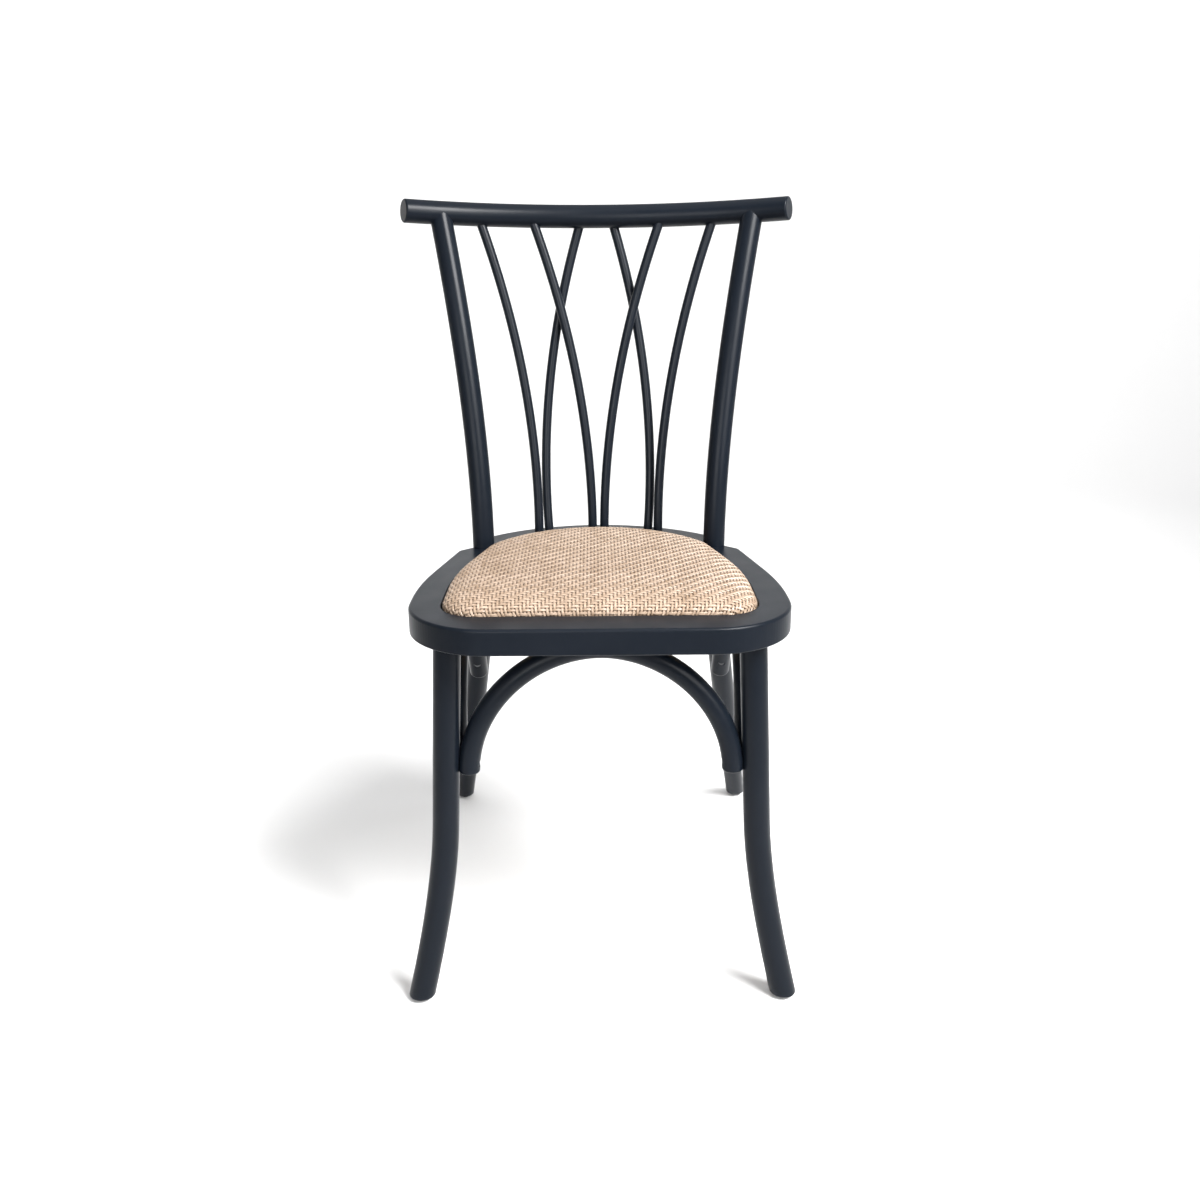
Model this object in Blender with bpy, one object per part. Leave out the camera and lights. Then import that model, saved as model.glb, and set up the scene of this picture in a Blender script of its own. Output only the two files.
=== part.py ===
"""Bentwood dining chair with a woven rattan seat, as separate pieces that fit together.

Metres, +Z up. The chair faces -Y and stands on z = 0, with its bounding box centred over the origin.
Until the last step, y = 0 is the front edge of the seat ring and x = 0 is the middle of the chair.
"""

import math

import bmesh
import bpy
from mathutils import Vector

# Clearance between pieces that touch
GAP = 0.0003

# Seat ring, seen from above
SEAT_HEIGHT = 0.463
SEAT_THICKNESS = 0.0285
SEAT_WIDTH = 0.411
SEAT_DEPTH = 0.412
FRONT_CORNER_RADIUS = 0.090
SIDE_TAPER_START = 0.152
SIDE_TAPER_RADIUS = 0.45
EAR_OUT = 0.0295
EAR_FORWARD = 0.0155
EAR_RADIUS = 0.012
NECK_BACK = 0.0015
NECK_RADIUS = 0.005
LEG_STANDOUT = 0.003
SHOULDER_OUT = 0.0075
SHOULDER_BACK = 0.0366
SHOULDER_RADIUS = 0.006
REAR_BOW_START = 0.0879
TOP_ARRIS = 0.003
BOTTOM_ARRIS = 0.0015

# Pad opening in the ring
FRONT_STRIP = 0.043
SIDE_STRIP = 0.035
REAR_STRIP = 0.0445
PAD_FRONT_RADIUS = 0.040
PAD_SIDE_IN = 0.002
PAD_SIDE_BEND = 0.175
PAD_SIDE_RADIUS = 0.35
PAD_LEG_WALL = 0.0023
PAD_LEG_ANGLE = math.radians(124)
PAD_LEG_FORWARD = 0.019
PAD_LEG_RADIUS = 0.04
REBATE_DEPTH = 0.012
LIP = 0.020

# Pad
BOARD_THICKNESS = 0.009
COVER_THICKNESS = 0.002
EDGE_RISE = 0.0008
CROWN = 0.018
CROWN_STEPS = (1.0, 0.985, 0.955, 0.91, 0.84, 0.72, 0.52, 0.25)

# Rear legs, which run up as the back posts
REAR_LEG_DIAMETER = 0.0265
REAR_LEG_SWELL = 0.0015
REAR_LEG_X = 0.1425
REAR_LEG_Y = 0.309
POST_OUT = 0.0455
POST_BACK = 0.081
POST_BEND = 0.40
REAR_FOOT_OUT = 0.0650
REAR_FOOT_BACK = 0.241
REAR_FOOT_BEND = 0.095
POST_TENON_DIAMETER = 0.016
POST_TENON_PAST_AXIS = 0.006
POST_TENON_ROOT = 0.030

# Crest rail
RAIL_DIAMETER = 0.028
RAIL_LENGTH = 0.459
RAIL_HEIGHT = 0.857
RAIL_BOW = 0.054
RAIL_TILT = math.radians(10.2)
RAIL_CHAMFER = 0.0015

# Spindles: foot, belly and head of the right-hand ones, measured from the middle
SPINDLE_DIAMETER = 0.0115
SPINDLE_SOCKET = 0.016
SPINDLES = {
    "outer": {"foot": 0.0763, "belly": 0.0745, "head": 0.1440, "shift": (-0.0025, -0.0020, 0.0)},
    "inner": {"foot": 0.0636, "belly": 0.0783, "head": 0.0176, "shift": (0.0030, 0.0090, 0.0042)},
    "cross": {"foot": 0.0076, "belly": 0.0082, "head": 0.0799, "shift": (-0.0010, -0.0080, -0.0042)},
}

# Front legs
FRONT_LEG_DIAMETER = 0.0295
FRONT_LEG_X = 0.162
FRONT_LEG_Y = 0.0544
FRONT_LEG_LEAN = 0.048
FLARE_HEIGHT = 0.22
FLARE_OUT = 0.0257
FLARE_FORWARD = 0.0134
FLARE_BEND = 0.15
LEG_TENON_DIAMETER = 0.018
LEG_TENON_HEIGHT = 0.0125
FOOT_CHAMFER = 0.0035

# Braces
BRACE_DIAMETER = 0.0235
BRACE_ROUNDNESS = 1.92
BRACE_BITE = 0.001
BRACE_CHAMFER = 0.003
SIDE_BRACE_INSET = 0.011
SIDE_BRACE_RADIUS = 0.118

# Glides under the feet
GLIDE_DIAMETER = 0.018
GLIDE_THICKNESS = 0.003
GLIDE_EDGE = 0.001
NAIL_DIAMETER = 0.003
NAIL_LENGTH = 0.012

# Bolts, nuts and screws
BOLT_DIAMETER = 0.006
BOLT_HEAD_DIAMETER = 0.013
BOLT_HEAD_HEIGHT = 0.003
BOLT_SEAT = 0.001
BOLT_PAST_NUT = 0.0015
NUT_SEAT = 0.0005
NUT_FLANGE_DIAMETER = 0.013
NUT_FLANGE = 0.0012
NUT_WIDTH = 0.010
NUT_HEIGHT = 0.005
HEAD_ROOM = 0.0012
SCREW_DIAMETER = 0.004
SCREW_HEAD_DIAMETER = 0.0085
SCREW_HEAD_DEPTH = 0.0028
SCREW_SINK = 0.0012
SCREW_TIP = 0.003
END_SCREW_GRIP = 0.014
FRONT_SCREW_RISE = 0.010
SIDE_SCREW_RISE = 0.019
TOP_SCREW_GRIP = 0.0125
BOARD_SCREW_GRIP = 0.0072
BOARD_SCREW_FRONT_X = 0.080
BOARD_SCREW_REAR_X = 0.040

# How finely the round shapes are faceted
ARC_STEP = math.radians(15)
ARC_ERROR = 0.00015
MERGE = 1e-6
LEG_SIDES = 16
BRACE_SIDES = 14
SPINDLE_SIDES = 10
SCREW_SIDES = 8
UPPER_STEPS = 12
LOWER_STEPS = 14
RAIL_STEPS = 24
SPINDLE_STEPS = 14
BRACE_STEPS = 22
NUT_SIDES = 12
SHARP_ANGLE = math.radians(35)

# Values that follow from the sizes above
RING_BOTTOM = SEAT_HEIGHT - SEAT_THICKNESS
LIP_TOP = SEAT_HEIGHT - REBATE_DEPTH
REAR_LEG_RADIUS = REAR_LEG_DIAMETER / 2
FRONT_LEG_RADIUS = FRONT_LEG_DIAMETER / 2
RAIL_RADIUS = RAIL_DIAMETER / 2
BRACE_RADIUS = BRACE_DIAMETER / 2
SPINDLE_RADIUS = SPINDLE_DIAMETER / 2
FOOT_TOP = GLIDE_THICKNESS + GAP
RAIL_RADIUS_OF_BOW = (RAIL_LENGTH**2 / 4 + RAIL_BOW**2) / (2 * RAIL_BOW)
BRACE_TOP_AXIS = RING_BOTTOM + BRACE_BITE - BRACE_RADIUS
FRONT_SEAT_GAUGE = FRONT_LEG_RADIUS + BRACE_RADIUS - BRACE_BITE
FRONT_BRACE_RADIUS = (
    FRONT_LEG_X - FRONT_SEAT_GAUGE + FRONT_LEG_LEAN * (RING_BOTTOM - BRACE_TOP_AXIS)
) / (1 - FRONT_LEG_LEAN)
BRACE_END = BRACE_TOP_AXIS - FRONT_BRACE_RADIUS
PAD_LEG_NORMAL = Vector((math.sin(PAD_LEG_ANGLE), -math.cos(PAD_LEG_ANGLE)))
PAD_CENTRE_Y = (FRONT_STRIP + SEAT_DEPTH - REAR_STRIP) / 2
UP = Vector((0, 0, 1))

# Finishes: colour, roughness, metallic
LACQUER = ((0.020, 0.022, 0.026, 1), 0.38, 0.0)
RATTAN = ((0.60, 0.43, 0.27, 1), 0.60, 0.0)
FOAM = ((0.72, 0.66, 0.45, 1), 0.90, 0.0)
PLYWOOD = ((0.55, 0.40, 0.24, 1), 0.65, 0.0)
ZINC = ((0.55, 0.56, 0.58, 1), 0.35, 1.0)
GLIDE_PLASTIC = ((0.03, 0.03, 0.03, 1), 0.50, 0.0)


def lean(distance, run, reach, bend):
    """The sideways shift of a rod that starts straight, bends and then runs off straight."""
    return reach * (math.hypot(distance, bend) - bend) / (math.hypot(run, bend) - bend)


def rear_leg_axis(z, side):
    """A point on the axis of a rear leg and its post."""
    if z >= SEAT_HEIGHT:
        distance, run, bend = z - SEAT_HEIGHT, RAIL_HEIGHT - SEAT_HEIGHT, POST_BEND
        out, back = POST_OUT, POST_BACK
    else:
        distance, run, bend = SEAT_HEIGHT - z, SEAT_HEIGHT, REAR_FOOT_BEND
        out, back = REAR_FOOT_OUT, REAR_FOOT_BACK
    x = REAR_LEG_X + lean(distance, run, out, bend)
    y = REAR_LEG_Y + lean(distance, run, back, bend)
    return Vector((side * x, y, z))


def rear_leg_radius(z):
    """The rear leg swells below the seat and tapers again towards the floor."""
    below = max(0.0, RING_BOTTOM - z)
    return REAR_LEG_RADIUS + REAR_LEG_SWELL * math.sin(math.pi * below / RING_BOTTOM)


def front_leg_axis(z, side):
    """A point on the axis of a front leg, which leans out and flares below FLARE_HEIGHT."""
    drop = max(0.0, FLARE_HEIGHT - z)
    x = FRONT_LEG_X + FRONT_LEG_LEAN * (RING_BOTTOM - z) + lean(drop, FLARE_HEIGHT, FLARE_OUT, FLARE_BEND)
    y = FRONT_LEG_Y - lean(drop, FLARE_HEIGHT, FLARE_FORWARD, FLARE_BEND)
    return Vector((side * x, y, z))


def rail_axis(x):
    """A point on the crest rail's axis, an arc in a plane that tilts back with the posts."""
    post_x = REAR_LEG_X + POST_OUT
    sag = math.sqrt(RAIL_RADIUS_OF_BOW**2 - x**2) - math.sqrt(RAIL_RADIUS_OF_BOW**2 - post_x**2)
    y = REAR_LEG_Y + POST_BACK + sag * math.cos(RAIL_TILT)
    return Vector((x, y, RAIL_HEIGHT - sag * math.sin(RAIL_TILT)))


def spindle_foot_y(x):
    """The middle of the ring's rear strip at x, on an arc about the rear bow's own centre."""
    bow_radius = REAR_BOW_START / math.tan(seat_bow_turn() / 2)
    middle = bow_radius - REAR_STRIP / 2
    return SEAT_DEPTH - bow_radius + math.sqrt(middle**2 - x**2)


def spindle_path(kind, side):
    """Foot, belly and head points of one spindle."""
    size = SPINDLES[kind]
    head = rail_axis(side * size["head"])
    foot = Vector((side * size["foot"], spindle_foot_y(size["foot"]), SEAT_HEIGHT))
    belly = (foot + head) / 2
    belly.x = side * size["belly"]
    for point, shift in zip((foot, belly, head), size["shift"]):
        point.y += shift
    return foot, belly, head


def seat_corners():
    """The ring's outline as corners (x, y, radius), right half, front to rear."""
    half = SEAT_WIDTH / 2
    leg_side = REAR_LEG_X + REAR_LEG_RADIUS - LEG_STANDOUT
    return [
        (half, 0.0, FRONT_CORNER_RADIUS),
        (half, SIDE_TAPER_START, SIDE_TAPER_RADIUS),
        (REAR_LEG_X + EAR_OUT, REAR_LEG_Y - EAR_FORWARD, EAR_RADIUS),
        (leg_side, REAR_LEG_Y + NECK_BACK, NECK_RADIUS),
        (REAR_LEG_X + SHOULDER_OUT, REAR_LEG_Y + SHOULDER_BACK, SHOULDER_RADIUS),
        (REAR_BOW_START, SEAT_DEPTH, None),
    ]


def seat_bow_turn():
    """How far the outline turns between the shoulder and the straight across the rear."""
    shoulder = Vector((REAR_LEG_X + SHOULDER_OUT, REAR_LEG_Y + SHOULDER_BACK))
    run = Vector((REAR_BOW_START, SEAT_DEPTH)) - shoulder
    return math.pi - math.atan2(run.y, run.x)


def pad_corners():
    """The pad opening's outline as corners, right half, front to rear."""
    half = SEAT_WIDTH / 2 - SIDE_STRIP
    rear = SEAT_DEPTH - REAR_STRIP
    reach = REAR_LEG_RADIUS + GAP + PAD_LEG_WALL

    def beside_leg(y):
        """Where the edge that passes the leg at a set distance reaches y."""
        return REAR_LEG_X - (reach + (y - REAR_LEG_Y) * PAD_LEG_NORMAL.y) / PAD_LEG_NORMAL.x

    near_leg = REAR_LEG_Y - PAD_LEG_FORWARD
    return [
        (half, FRONT_STRIP, PAD_FRONT_RADIUS),
        (half - PAD_SIDE_IN, PAD_SIDE_BEND, PAD_SIDE_RADIUS),
        (beside_leg(near_leg), near_leg, PAD_LEG_RADIUS),
        (beside_leg(rear), rear, None),
    ]


def outline(corners, inset=0.0):
    """The closed outline of a mirrored row of corners, moved inwards by inset, as (x, y) points."""
    mirrored = [(-x, y, radius) for x, y, radius in reversed(corners)]
    around = corners + mirrored
    count = len(around)
    points = [Vector(corner[:2]) for corner in around]
    moved = []
    for i in range(count):
        before = (points[i] - points[i - 1]).normalized()
        after = (points[(i + 1) % count] - points[i]).normalized()
        inward = Vector((-before.y, before.x)) + Vector((-after.y, after.x))
        moved.append(points[i] + inward * inset / (1 + before.dot(after)))
    result = []
    for i in range(count):
        corner = moved[i]
        before = (corner - moved[i - 1]).normalized()
        after = (moved[(i + 1) % count] - corner).normalized()
        half_turn = math.tan(before.angle(after) / 2)
        radius = around[i][2]
        left_turn = before.x * after.y - before.y * after.x > 0
        if radius is None:
            steps = arc_steps(before.angle(after), abs(points[i].x) / half_turn)
            radius = abs(corner.x) / half_turn
        else:
            steps = arc_steps(before.angle(after), radius)
            radius += -inset if left_turn else inset
        result += arc_at(corner, before, after, radius, steps)
    return [point for i, point in enumerate(result) if (point - result[i - 1]).length > MERGE]


def arc_steps(turn, radius):
    """How many flats an arc needs, so that it stays within ARC_ERROR of the true round."""
    widest = min(ARC_STEP, 2 * math.acos(1 - ARC_ERROR / radius))
    return max(2, math.ceil(turn / widest))


def arc_at(corner, before, after, radius, steps):
    """The round of a corner, as points from one tangent point to the other."""
    turn = before.angle(after)
    start = corner - before * radius * math.tan(turn / 2)
    across = (after - before * math.cos(turn)).normalized()
    points = []
    for step in range(steps + 1):
        angle = turn * step / steps
        points.append(start + (before * math.sin(angle) + across * (1 - math.cos(angle))) * radius)
    return points


def new_object(name, mesh_builder, finish=None):
    """An object from a bmesh, with outward faces and its own material, or a cutter without one."""
    bmesh.ops.recalc_face_normals(mesh_builder, faces=mesh_builder.faces)
    mesh = bpy.data.meshes.new(name)
    mesh_builder.to_mesh(mesh)
    mesh_builder.free()
    mesh.shade_smooth()
    mesh.set_sharp_from_angle(angle=SHARP_ANGLE)
    made = bpy.data.objects.new(name, mesh)
    bpy.context.scene.collection.objects.link(made)
    if finish is None:
        made.hide_render = True
        made.display_type = "WIRE"
        return made
    colour, roughness, metallic = finish
    material = bpy.data.materials.new(f"{name}_finish")
    material.use_nodes = True
    shader = material.node_tree.nodes["Principled BSDF"]
    shader.inputs["Base Color"].default_value = colour
    shader.inputs["Roughness"].default_value = roughness
    shader.inputs["Metallic"].default_value = metallic
    mesh.materials.append(material)
    return made


def add_loft(builder, rings, closed=False):
    """Skins a row of point rings, and caps its ends unless the row closes on itself."""
    rows = [[builder.verts.new(point) for point in ring] for ring in rings]
    count = len(rows[0])
    pairs = list(zip(rows, rows[1:]))
    if closed:
        pairs.append((rows[-1], rows[0]))
    for low, high in pairs:
        for i in range(count):
            j = (i + 1) % count
            builder.faces.new((low[i], low[j], high[j], high[i]))
    if not closed:
        builder.faces.new(rows[0])
        builder.faces.new(rows[-1])


def loft(name, rings, finish=None, closed=False):
    """One lofted solid."""
    builder = bmesh.new()
    add_loft(builder, rings, closed)
    return new_object(name, builder, finish)


def circle(centre, axis, radius, sides):
    """A ring of points about an axis."""
    across = axis.orthogonal().normalized()
    other = axis.normalized().cross(across)
    angles = [2 * math.pi * i / sides for i in range(sides)]
    return [centre + (across * math.cos(a) + other * math.sin(a)) * radius for a in angles]


def turned(start, axis, profile, sides):
    """Rings of a turned shape: profile holds (distance along the axis, radius)."""
    axis = axis.normalized()
    return [circle(start + axis * along, axis, radius, sides) for along, radius in profile]


def rod_rings(path, radii, sides, level_start=0, level_end=0):
    """Rings along a path, without twist. The first and last few can lie level, as feet do."""
    count = len(path)
    tangents = []
    for i in range(count):
        tangents.append((path[min(i + 1, count - 1)] - path[max(i - 1, 0)]).normalized())
    across = tangents[0].cross(UP if abs(tangents[0].z) < 0.7 else Vector((0, 1, 0))).normalized()
    rings = []
    for i, (centre, tangent, radius) in enumerate(zip(path, tangents, radii)):
        across = (across - tangent * across.dot(tangent)).normalized()
        other = tangent.cross(across)
        ring = []
        for k in range(sides):
            angle = 2 * math.pi * (k + 0.5) / sides
            point = centre + (across * math.cos(angle) + other * math.sin(angle)) * radius
            if i < level_start or i >= count - level_end:
                point += tangent * ((centre.z - point.z) / tangent.z)
            ring.append(point)
        rings.append(ring)
    return rings


def with_ends(path, radius, chamfer, extra=0.0):
    """A path and its radii, with chamfered ends, or with longer plain ends for a cutter."""
    first = (path[0] - path[1]).normalized()
    last = (path[-1] - path[-2]).normalized()
    if extra:
        return [path[0] + first * extra] + path + [path[-1] + last * extra], [radius] * (len(path) + 2)
    inner = [path[0] - first * chamfer] + path[1:-1] + [path[-1] - last * chamfer]
    full = [path[0]] + inner + [path[-1]]
    radii = [radius - chamfer] + [radius] * len(inner) + [radius - chamfer]
    return full, radii


def cut(target, cutter, operation="DIFFERENCE"):
    """A live Boolean of one object by another."""
    modifier = target.modifiers.new(f"{operation.lower()} {cutter.name}", "BOOLEAN")
    modifier.operation = operation
    modifier.solver = "EXACT"
    modifier.object = cutter


def level_outline(points, z):
    """An outline lifted to a height."""
    return [Vector((point.x, point.y, z)) for point in points]


def make_seat_ring():
    """The bent ring: a slab with rounded arrises, its rebate for the pad and its opening."""
    corners = seat_corners()
    rings = []
    for quarter in range(3):
        angle = math.pi / 4 * quarter
        drop = BOTTOM_ARRIS * (1 - math.sin(angle))
        rings.append(level_outline(outline(corners, drop), RING_BOTTOM + BOTTOM_ARRIS * (1 - math.cos(angle))))
    for quarter in range(4):
        angle = math.pi / 6 * quarter
        drop = TOP_ARRIS * (1 - math.cos(angle))
        rings.append(level_outline(outline(corners, drop), SEAT_HEIGHT - TOP_ARRIS * (1 - math.sin(angle))))
    ring = loft("seat_ring", rings, LACQUER)
    rebate_outline = outline(pad_corners())
    rebate = loft("cutter_rebate", [level_outline(rebate_outline, z) for z in (LIP_TOP, SEAT_HEIGHT + LIP)])
    opening_outline = outline(pad_corners(), LIP)
    opening = loft("cutter_opening", [level_outline(opening_outline, z) for z in (RING_BOTTOM - LIP, SEAT_HEIGHT)])
    cut(ring, rebate)
    cut(ring, opening)
    return ring


def crown_height(share):
    """The cover's height over its edge, for a point at a share of the way from the middle to the edge."""
    return CROWN * math.sqrt(1 - share**6)


def crown_rings(inset, drop):
    """Rings of the crowned top, from the edge to near the middle."""
    rings = []
    for share in CROWN_STEPS:
        points = outline(pad_corners(), inset)
        z = SEAT_HEIGHT + EDGE_RISE + crown_height(share) - drop
        rings.append([Vector((p.x * share, PAD_CENTRE_Y + (p.y - PAD_CENTRE_Y) * share, z)) for p in points])
    return rings


def make_pad():
    """The board in the rebate, the crowned foam on it and the woven cover wrapped over both."""
    board_outline = outline(pad_corners(), 2 * GAP + COVER_THICKNESS)
    board_bottom = LIP_TOP + GAP
    board_top = board_bottom + BOARD_THICKNESS
    board = loft("seat_board", [level_outline(board_outline, z) for z in (board_bottom, board_top)], PLYWOOD)
    foam_top = crown_rings(2 * GAP + COVER_THICKNESS, COVER_THICKNESS + GAP)
    loft("seat_foam", [level_outline(board_outline, board_top + GAP)] + foam_top, FOAM)
    outer = [level_outline(outline(pad_corners(), GAP), board_bottom)] + crown_rings(GAP, 0.0)
    inner_inset = GAP + COVER_THICKNESS
    inner = [level_outline(outline(pad_corners(), inner_inset), board_bottom)]
    inner += crown_rings(inner_inset, COVER_THICKNESS)
    builder = bmesh.new()
    add_loft(builder, list(reversed(outer)) + inner)
    new_object("rattan_cover", builder, RATTAN)
    return board


def leg_heights(low, high, steps):
    """Evenly spaced heights, both ends included."""
    return [low + (high - low) * i / steps for i in range(steps + 1)]


def rear_leg_path(side):
    """Axis points from the foot to the rail's axis."""
    lower = leg_heights(FOOT_TOP + FOOT_CHAMFER, SEAT_HEIGHT, LOWER_STEPS)
    upper = leg_heights(SEAT_HEIGHT, RAIL_HEIGHT, UPPER_STEPS)[1:]
    return [rear_leg_axis(z, side) for z in [FOOT_TOP] + lower + upper]


def make_rear_leg(side, word, rail_clearance):
    """One bent rod from the floor to the rail, coped to the rail and with a tenon in it."""
    path = rear_leg_path(side)
    radii = [rear_leg_radius(point.z) for point in path]
    radii[0] -= FOOT_CHAMFER
    leg = loft(f"rear_leg_{word}", rod_rings(path, radii, LEG_SIDES, level_start=2), LACQUER)
    cut(leg, rail_clearance)
    along = (path[-1] - path[-2]).normalized()
    root = path[-1] - along * POST_TENON_ROOT
    length = POST_TENON_ROOT + POST_TENON_PAST_AXIS
    radius = POST_TENON_DIAMETER / 2
    tenon = loft(f"tenon_{word}", turned(root, along, [(0, radius), (length, radius)], LEG_SIDES))
    cut(leg, tenon, "UNION")
    socket_profile = [(0, radius + GAP), (length + GAP, radius + GAP)]
    socket = loft(f"cutter_post_socket_{word}", turned(root, along, socket_profile, LEG_SIDES))
    notch_radii = [rear_leg_radius(point.z) + GAP for point in path]
    notch_rings = rod_rings(path, notch_radii, LEG_SIDES, level_start=2)
    notch = loft(f"cutter_rear_leg_{word}", notch_rings)
    return leg, socket, notch


def rail_path():
    """Axis points of the rail, evenly spaced along its arc."""
    reach = math.asin(RAIL_LENGTH / 2 / RAIL_RADIUS_OF_BOW)
    angles = [reach * (2 * i / RAIL_STEPS - 1) for i in range(RAIL_STEPS + 1)]
    return [rail_axis(RAIL_RADIUS_OF_BOW * math.sin(angle)) for angle in angles]


def make_rail():
    """The bowed crest rail and its clearance shape for the posts."""
    path, radii = with_ends(rail_path(), RAIL_RADIUS, RAIL_CHAMFER)
    rail = loft("crest_rail", rod_rings(path, radii, LEG_SIDES), LACQUER)
    path, radii = with_ends(rail_path(), RAIL_RADIUS + GAP, RAIL_CHAMFER, extra=GAP)
    return rail, loft("cutter_rail", rod_rings(path, radii, LEG_SIDES))


def make_spindle(kind, side, word):
    """One bent spindle from its socket in the ring to its socket in the rail, and the sockets' cutter."""
    foot, belly, head = spindle_path(kind, side)
    path = []
    for step in range(SPINDLE_STEPS + 1):
        share = step / SPINDLE_STEPS
        path.append(foot * (1 - share) ** 2 + belly * 2 * share * (1 - share) + head * share**2)
    down = (foot - belly).normalized()
    path.insert(0, foot + down * SPINDLE_SOCKET)
    loft(f"spindle_{kind}_{word}", rod_rings(path, [SPINDLE_RADIUS] * len(path), SPINDLE_SIDES), LACQUER)
    path, radii = with_ends(path, SPINDLE_RADIUS + GAP, 0.0, extra=GAP)
    return loft(f"cutter_spindle_{kind}_{word}", rod_rings(path, radii, SPINDLE_SIDES))


def make_front_leg(side, word):
    """A leaning, flared leg with a turned tenon in the ring's underside."""
    top = RING_BOTTOM - GAP
    heights = [FOOT_TOP] + leg_heights(FOOT_TOP + FOOT_CHAMFER, top, LOWER_STEPS)
    path = [front_leg_axis(z, side) for z in heights]
    radii = [FRONT_LEG_RADIUS - FOOT_CHAMFER] + [FRONT_LEG_RADIUS] * (len(path) - 1)
    rings = rod_rings(path, radii, LEG_SIDES, level_start=2, level_end=1)
    shrink = LEG_TENON_DIAMETER / FRONT_LEG_DIAMETER
    shoulder = [path[-1] + (point - path[-1]) * shrink for point in rings[-1]]
    tenon_top = [point + UP * LEG_TENON_HEIGHT for point in shoulder]
    leg = loft(f"front_leg_{word}", rings + [shoulder, tenon_top], LACQUER)
    clear = rod_rings(path, [FRONT_LEG_RADIUS + GAP] * len(path), LEG_SIDES, level_start=2, level_end=1)
    clearance = loft(f"cutter_front_leg_{word}", clear)
    grown = 1 + 2 * GAP / LEG_TENON_DIAMETER
    socket_ring = [path[-1] + (point - path[-1]) * grown - UP * GAP for point in shoulder]
    socket_top = [point + UP * (LEG_TENON_HEIGHT + 2 * GAP) for point in socket_ring]
    return leg, clearance, loft(f"cutter_leg_socket_{word}", [socket_ring, socket_top])


def rounded(share):
    """A cosine or sine of a half-round that is slightly slimmer than a circle at its shoulders."""
    return math.copysign(abs(share) ** (2 / BRACE_ROUNDNESS), share)


def make_front_brace(underside, leg_clearances):
    """A half-round arch between the front legs, flattened where it meets the ring."""
    path = []
    for step in range(BRACE_STEPS + 1):
        angle = math.pi * (1 - step / BRACE_STEPS)
        x = FRONT_BRACE_RADIUS * rounded(math.cos(angle))
        path.append(Vector((x, FRONT_LEG_Y, BRACE_END + FRONT_BRACE_RADIUS * rounded(math.sin(angle)))))
    path, radii = with_ends(path, BRACE_RADIUS, BRACE_CHAMFER)
    brace = loft("front_brace", rod_rings(path, radii, BRACE_SIDES), LACQUER)
    for cutter in [underside] + leg_clearances:
        cut(brace, cutter)
    return brace


def side_brace_frame(side):
    """The upright plane of a side brace: a point in the front leg, the way back and its corners."""
    origin = front_leg_axis(BRACE_END, side) - Vector((side * SIDE_BRACE_INSET, 0, 0))
    back = Vector((0, 1, 0))
    rear = rear_leg_axis(BRACE_END, side)
    above = rear_leg_axis(BRACE_END + GAP, side)
    slope = (rear.y - above.y) / GAP
    front_reach = math.sqrt(FRONT_SEAT_GAUGE**2 - SIDE_BRACE_INSET**2)
    gauge = rear_leg_radius(BRACE_END) + BRACE_RADIUS - BRACE_BITE
    rear_reach = math.sqrt(gauge**2 - (rear.x - origin.x) ** 2) * math.hypot(1, slope)
    rear_end = rear.y - origin.y - rear_reach
    rise = BRACE_TOP_AXIS - BRACE_END
    corners = [(front_reach, 0.0), (front_reach, rise), (rear_end - slope * rise, rise), (rear_end, 0.0)]
    return origin, back, [Vector(corner) for corner in corners]


def make_side_brace(side, word, underside, leg_clearances):
    """A bent arch from the front leg to the rear leg, whose rear limb leans with the leg."""
    origin, back, corners = side_brace_frame(side)
    flat = [corners[0]]
    for i in (1, 2):
        before = (corners[i] - corners[i - 1]).normalized()
        after = (corners[i + 1] - corners[i]).normalized()
        steps = arc_steps(before.angle(after), SIDE_BRACE_RADIUS)
        flat += arc_at(corners[i], before, after, SIDE_BRACE_RADIUS, steps)
    flat.append(corners[3])
    path = [origin + back * point.x + UP * point.y for point in flat]
    path, radii = with_ends(path, BRACE_RADIUS, BRACE_CHAMFER)
    brace = loft(f"side_brace_{word}", rod_rings(path, radii, BRACE_SIDES), LACQUER)
    for cutter in [underside] + leg_clearances:
        cut(brace, cutter)
    return brace


def make_underside():
    """Everything above the ring's underside, to flatten the tops of the braces."""
    half = SEAT_WIDTH / 2
    outline_points = [Vector((x, y)) for x, y in ((-half, 0), (half, 0), (half, SEAT_DEPTH), (-half, SEAT_DEPTH))]
    low = RING_BOTTOM - GAP
    return loft("cutter_underside", [level_outline(outline_points, z) for z in (low, SEAT_HEIGHT)])


def screw_profile(length):
    """A countersunk screw from its head's face to its tip."""
    shank = SCREW_DIAMETER / 2
    return [
        (0, SCREW_HEAD_DIAMETER / 2),
        (SCREW_HEAD_DEPTH, shank),
        (length - SCREW_TIP, shank),
        (length, shank / 4),
    ]


def screw_hole_profile(length):
    """The hole of a screw, open past its head."""
    shank = SCREW_DIAMETER / 2 + GAP
    head = SCREW_HEAD_DIAMETER / 2 + GAP
    return [(-SCREW_SINK - HEAD_ROOM, head), (GAP, head), (SCREW_HEAD_DEPTH + GAP, shank), (length + GAP, shank)]


def make_screw(name, place, pieces):
    """One screw, and its hole in the pieces that it holds."""
    start, direction, length = place
    loft(name, turned(start, direction, screw_profile(length), SCREW_SIDES), ZINC)
    hole = loft(f"cutter_{name}", turned(start, direction, screw_hole_profile(length), SCREW_SIDES))
    for piece in pieces:
        cut(piece, hole)


def end_screw(limb, leg):
    """A screw through a brace's end into the leg beside it."""
    direction = (leg - limb).normalized()
    start = limb - direction * (BRACE_RADIUS - SCREW_SINK)
    return start, direction, 2 * BRACE_RADIUS - SCREW_SINK + END_SCREW_GRIP


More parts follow.
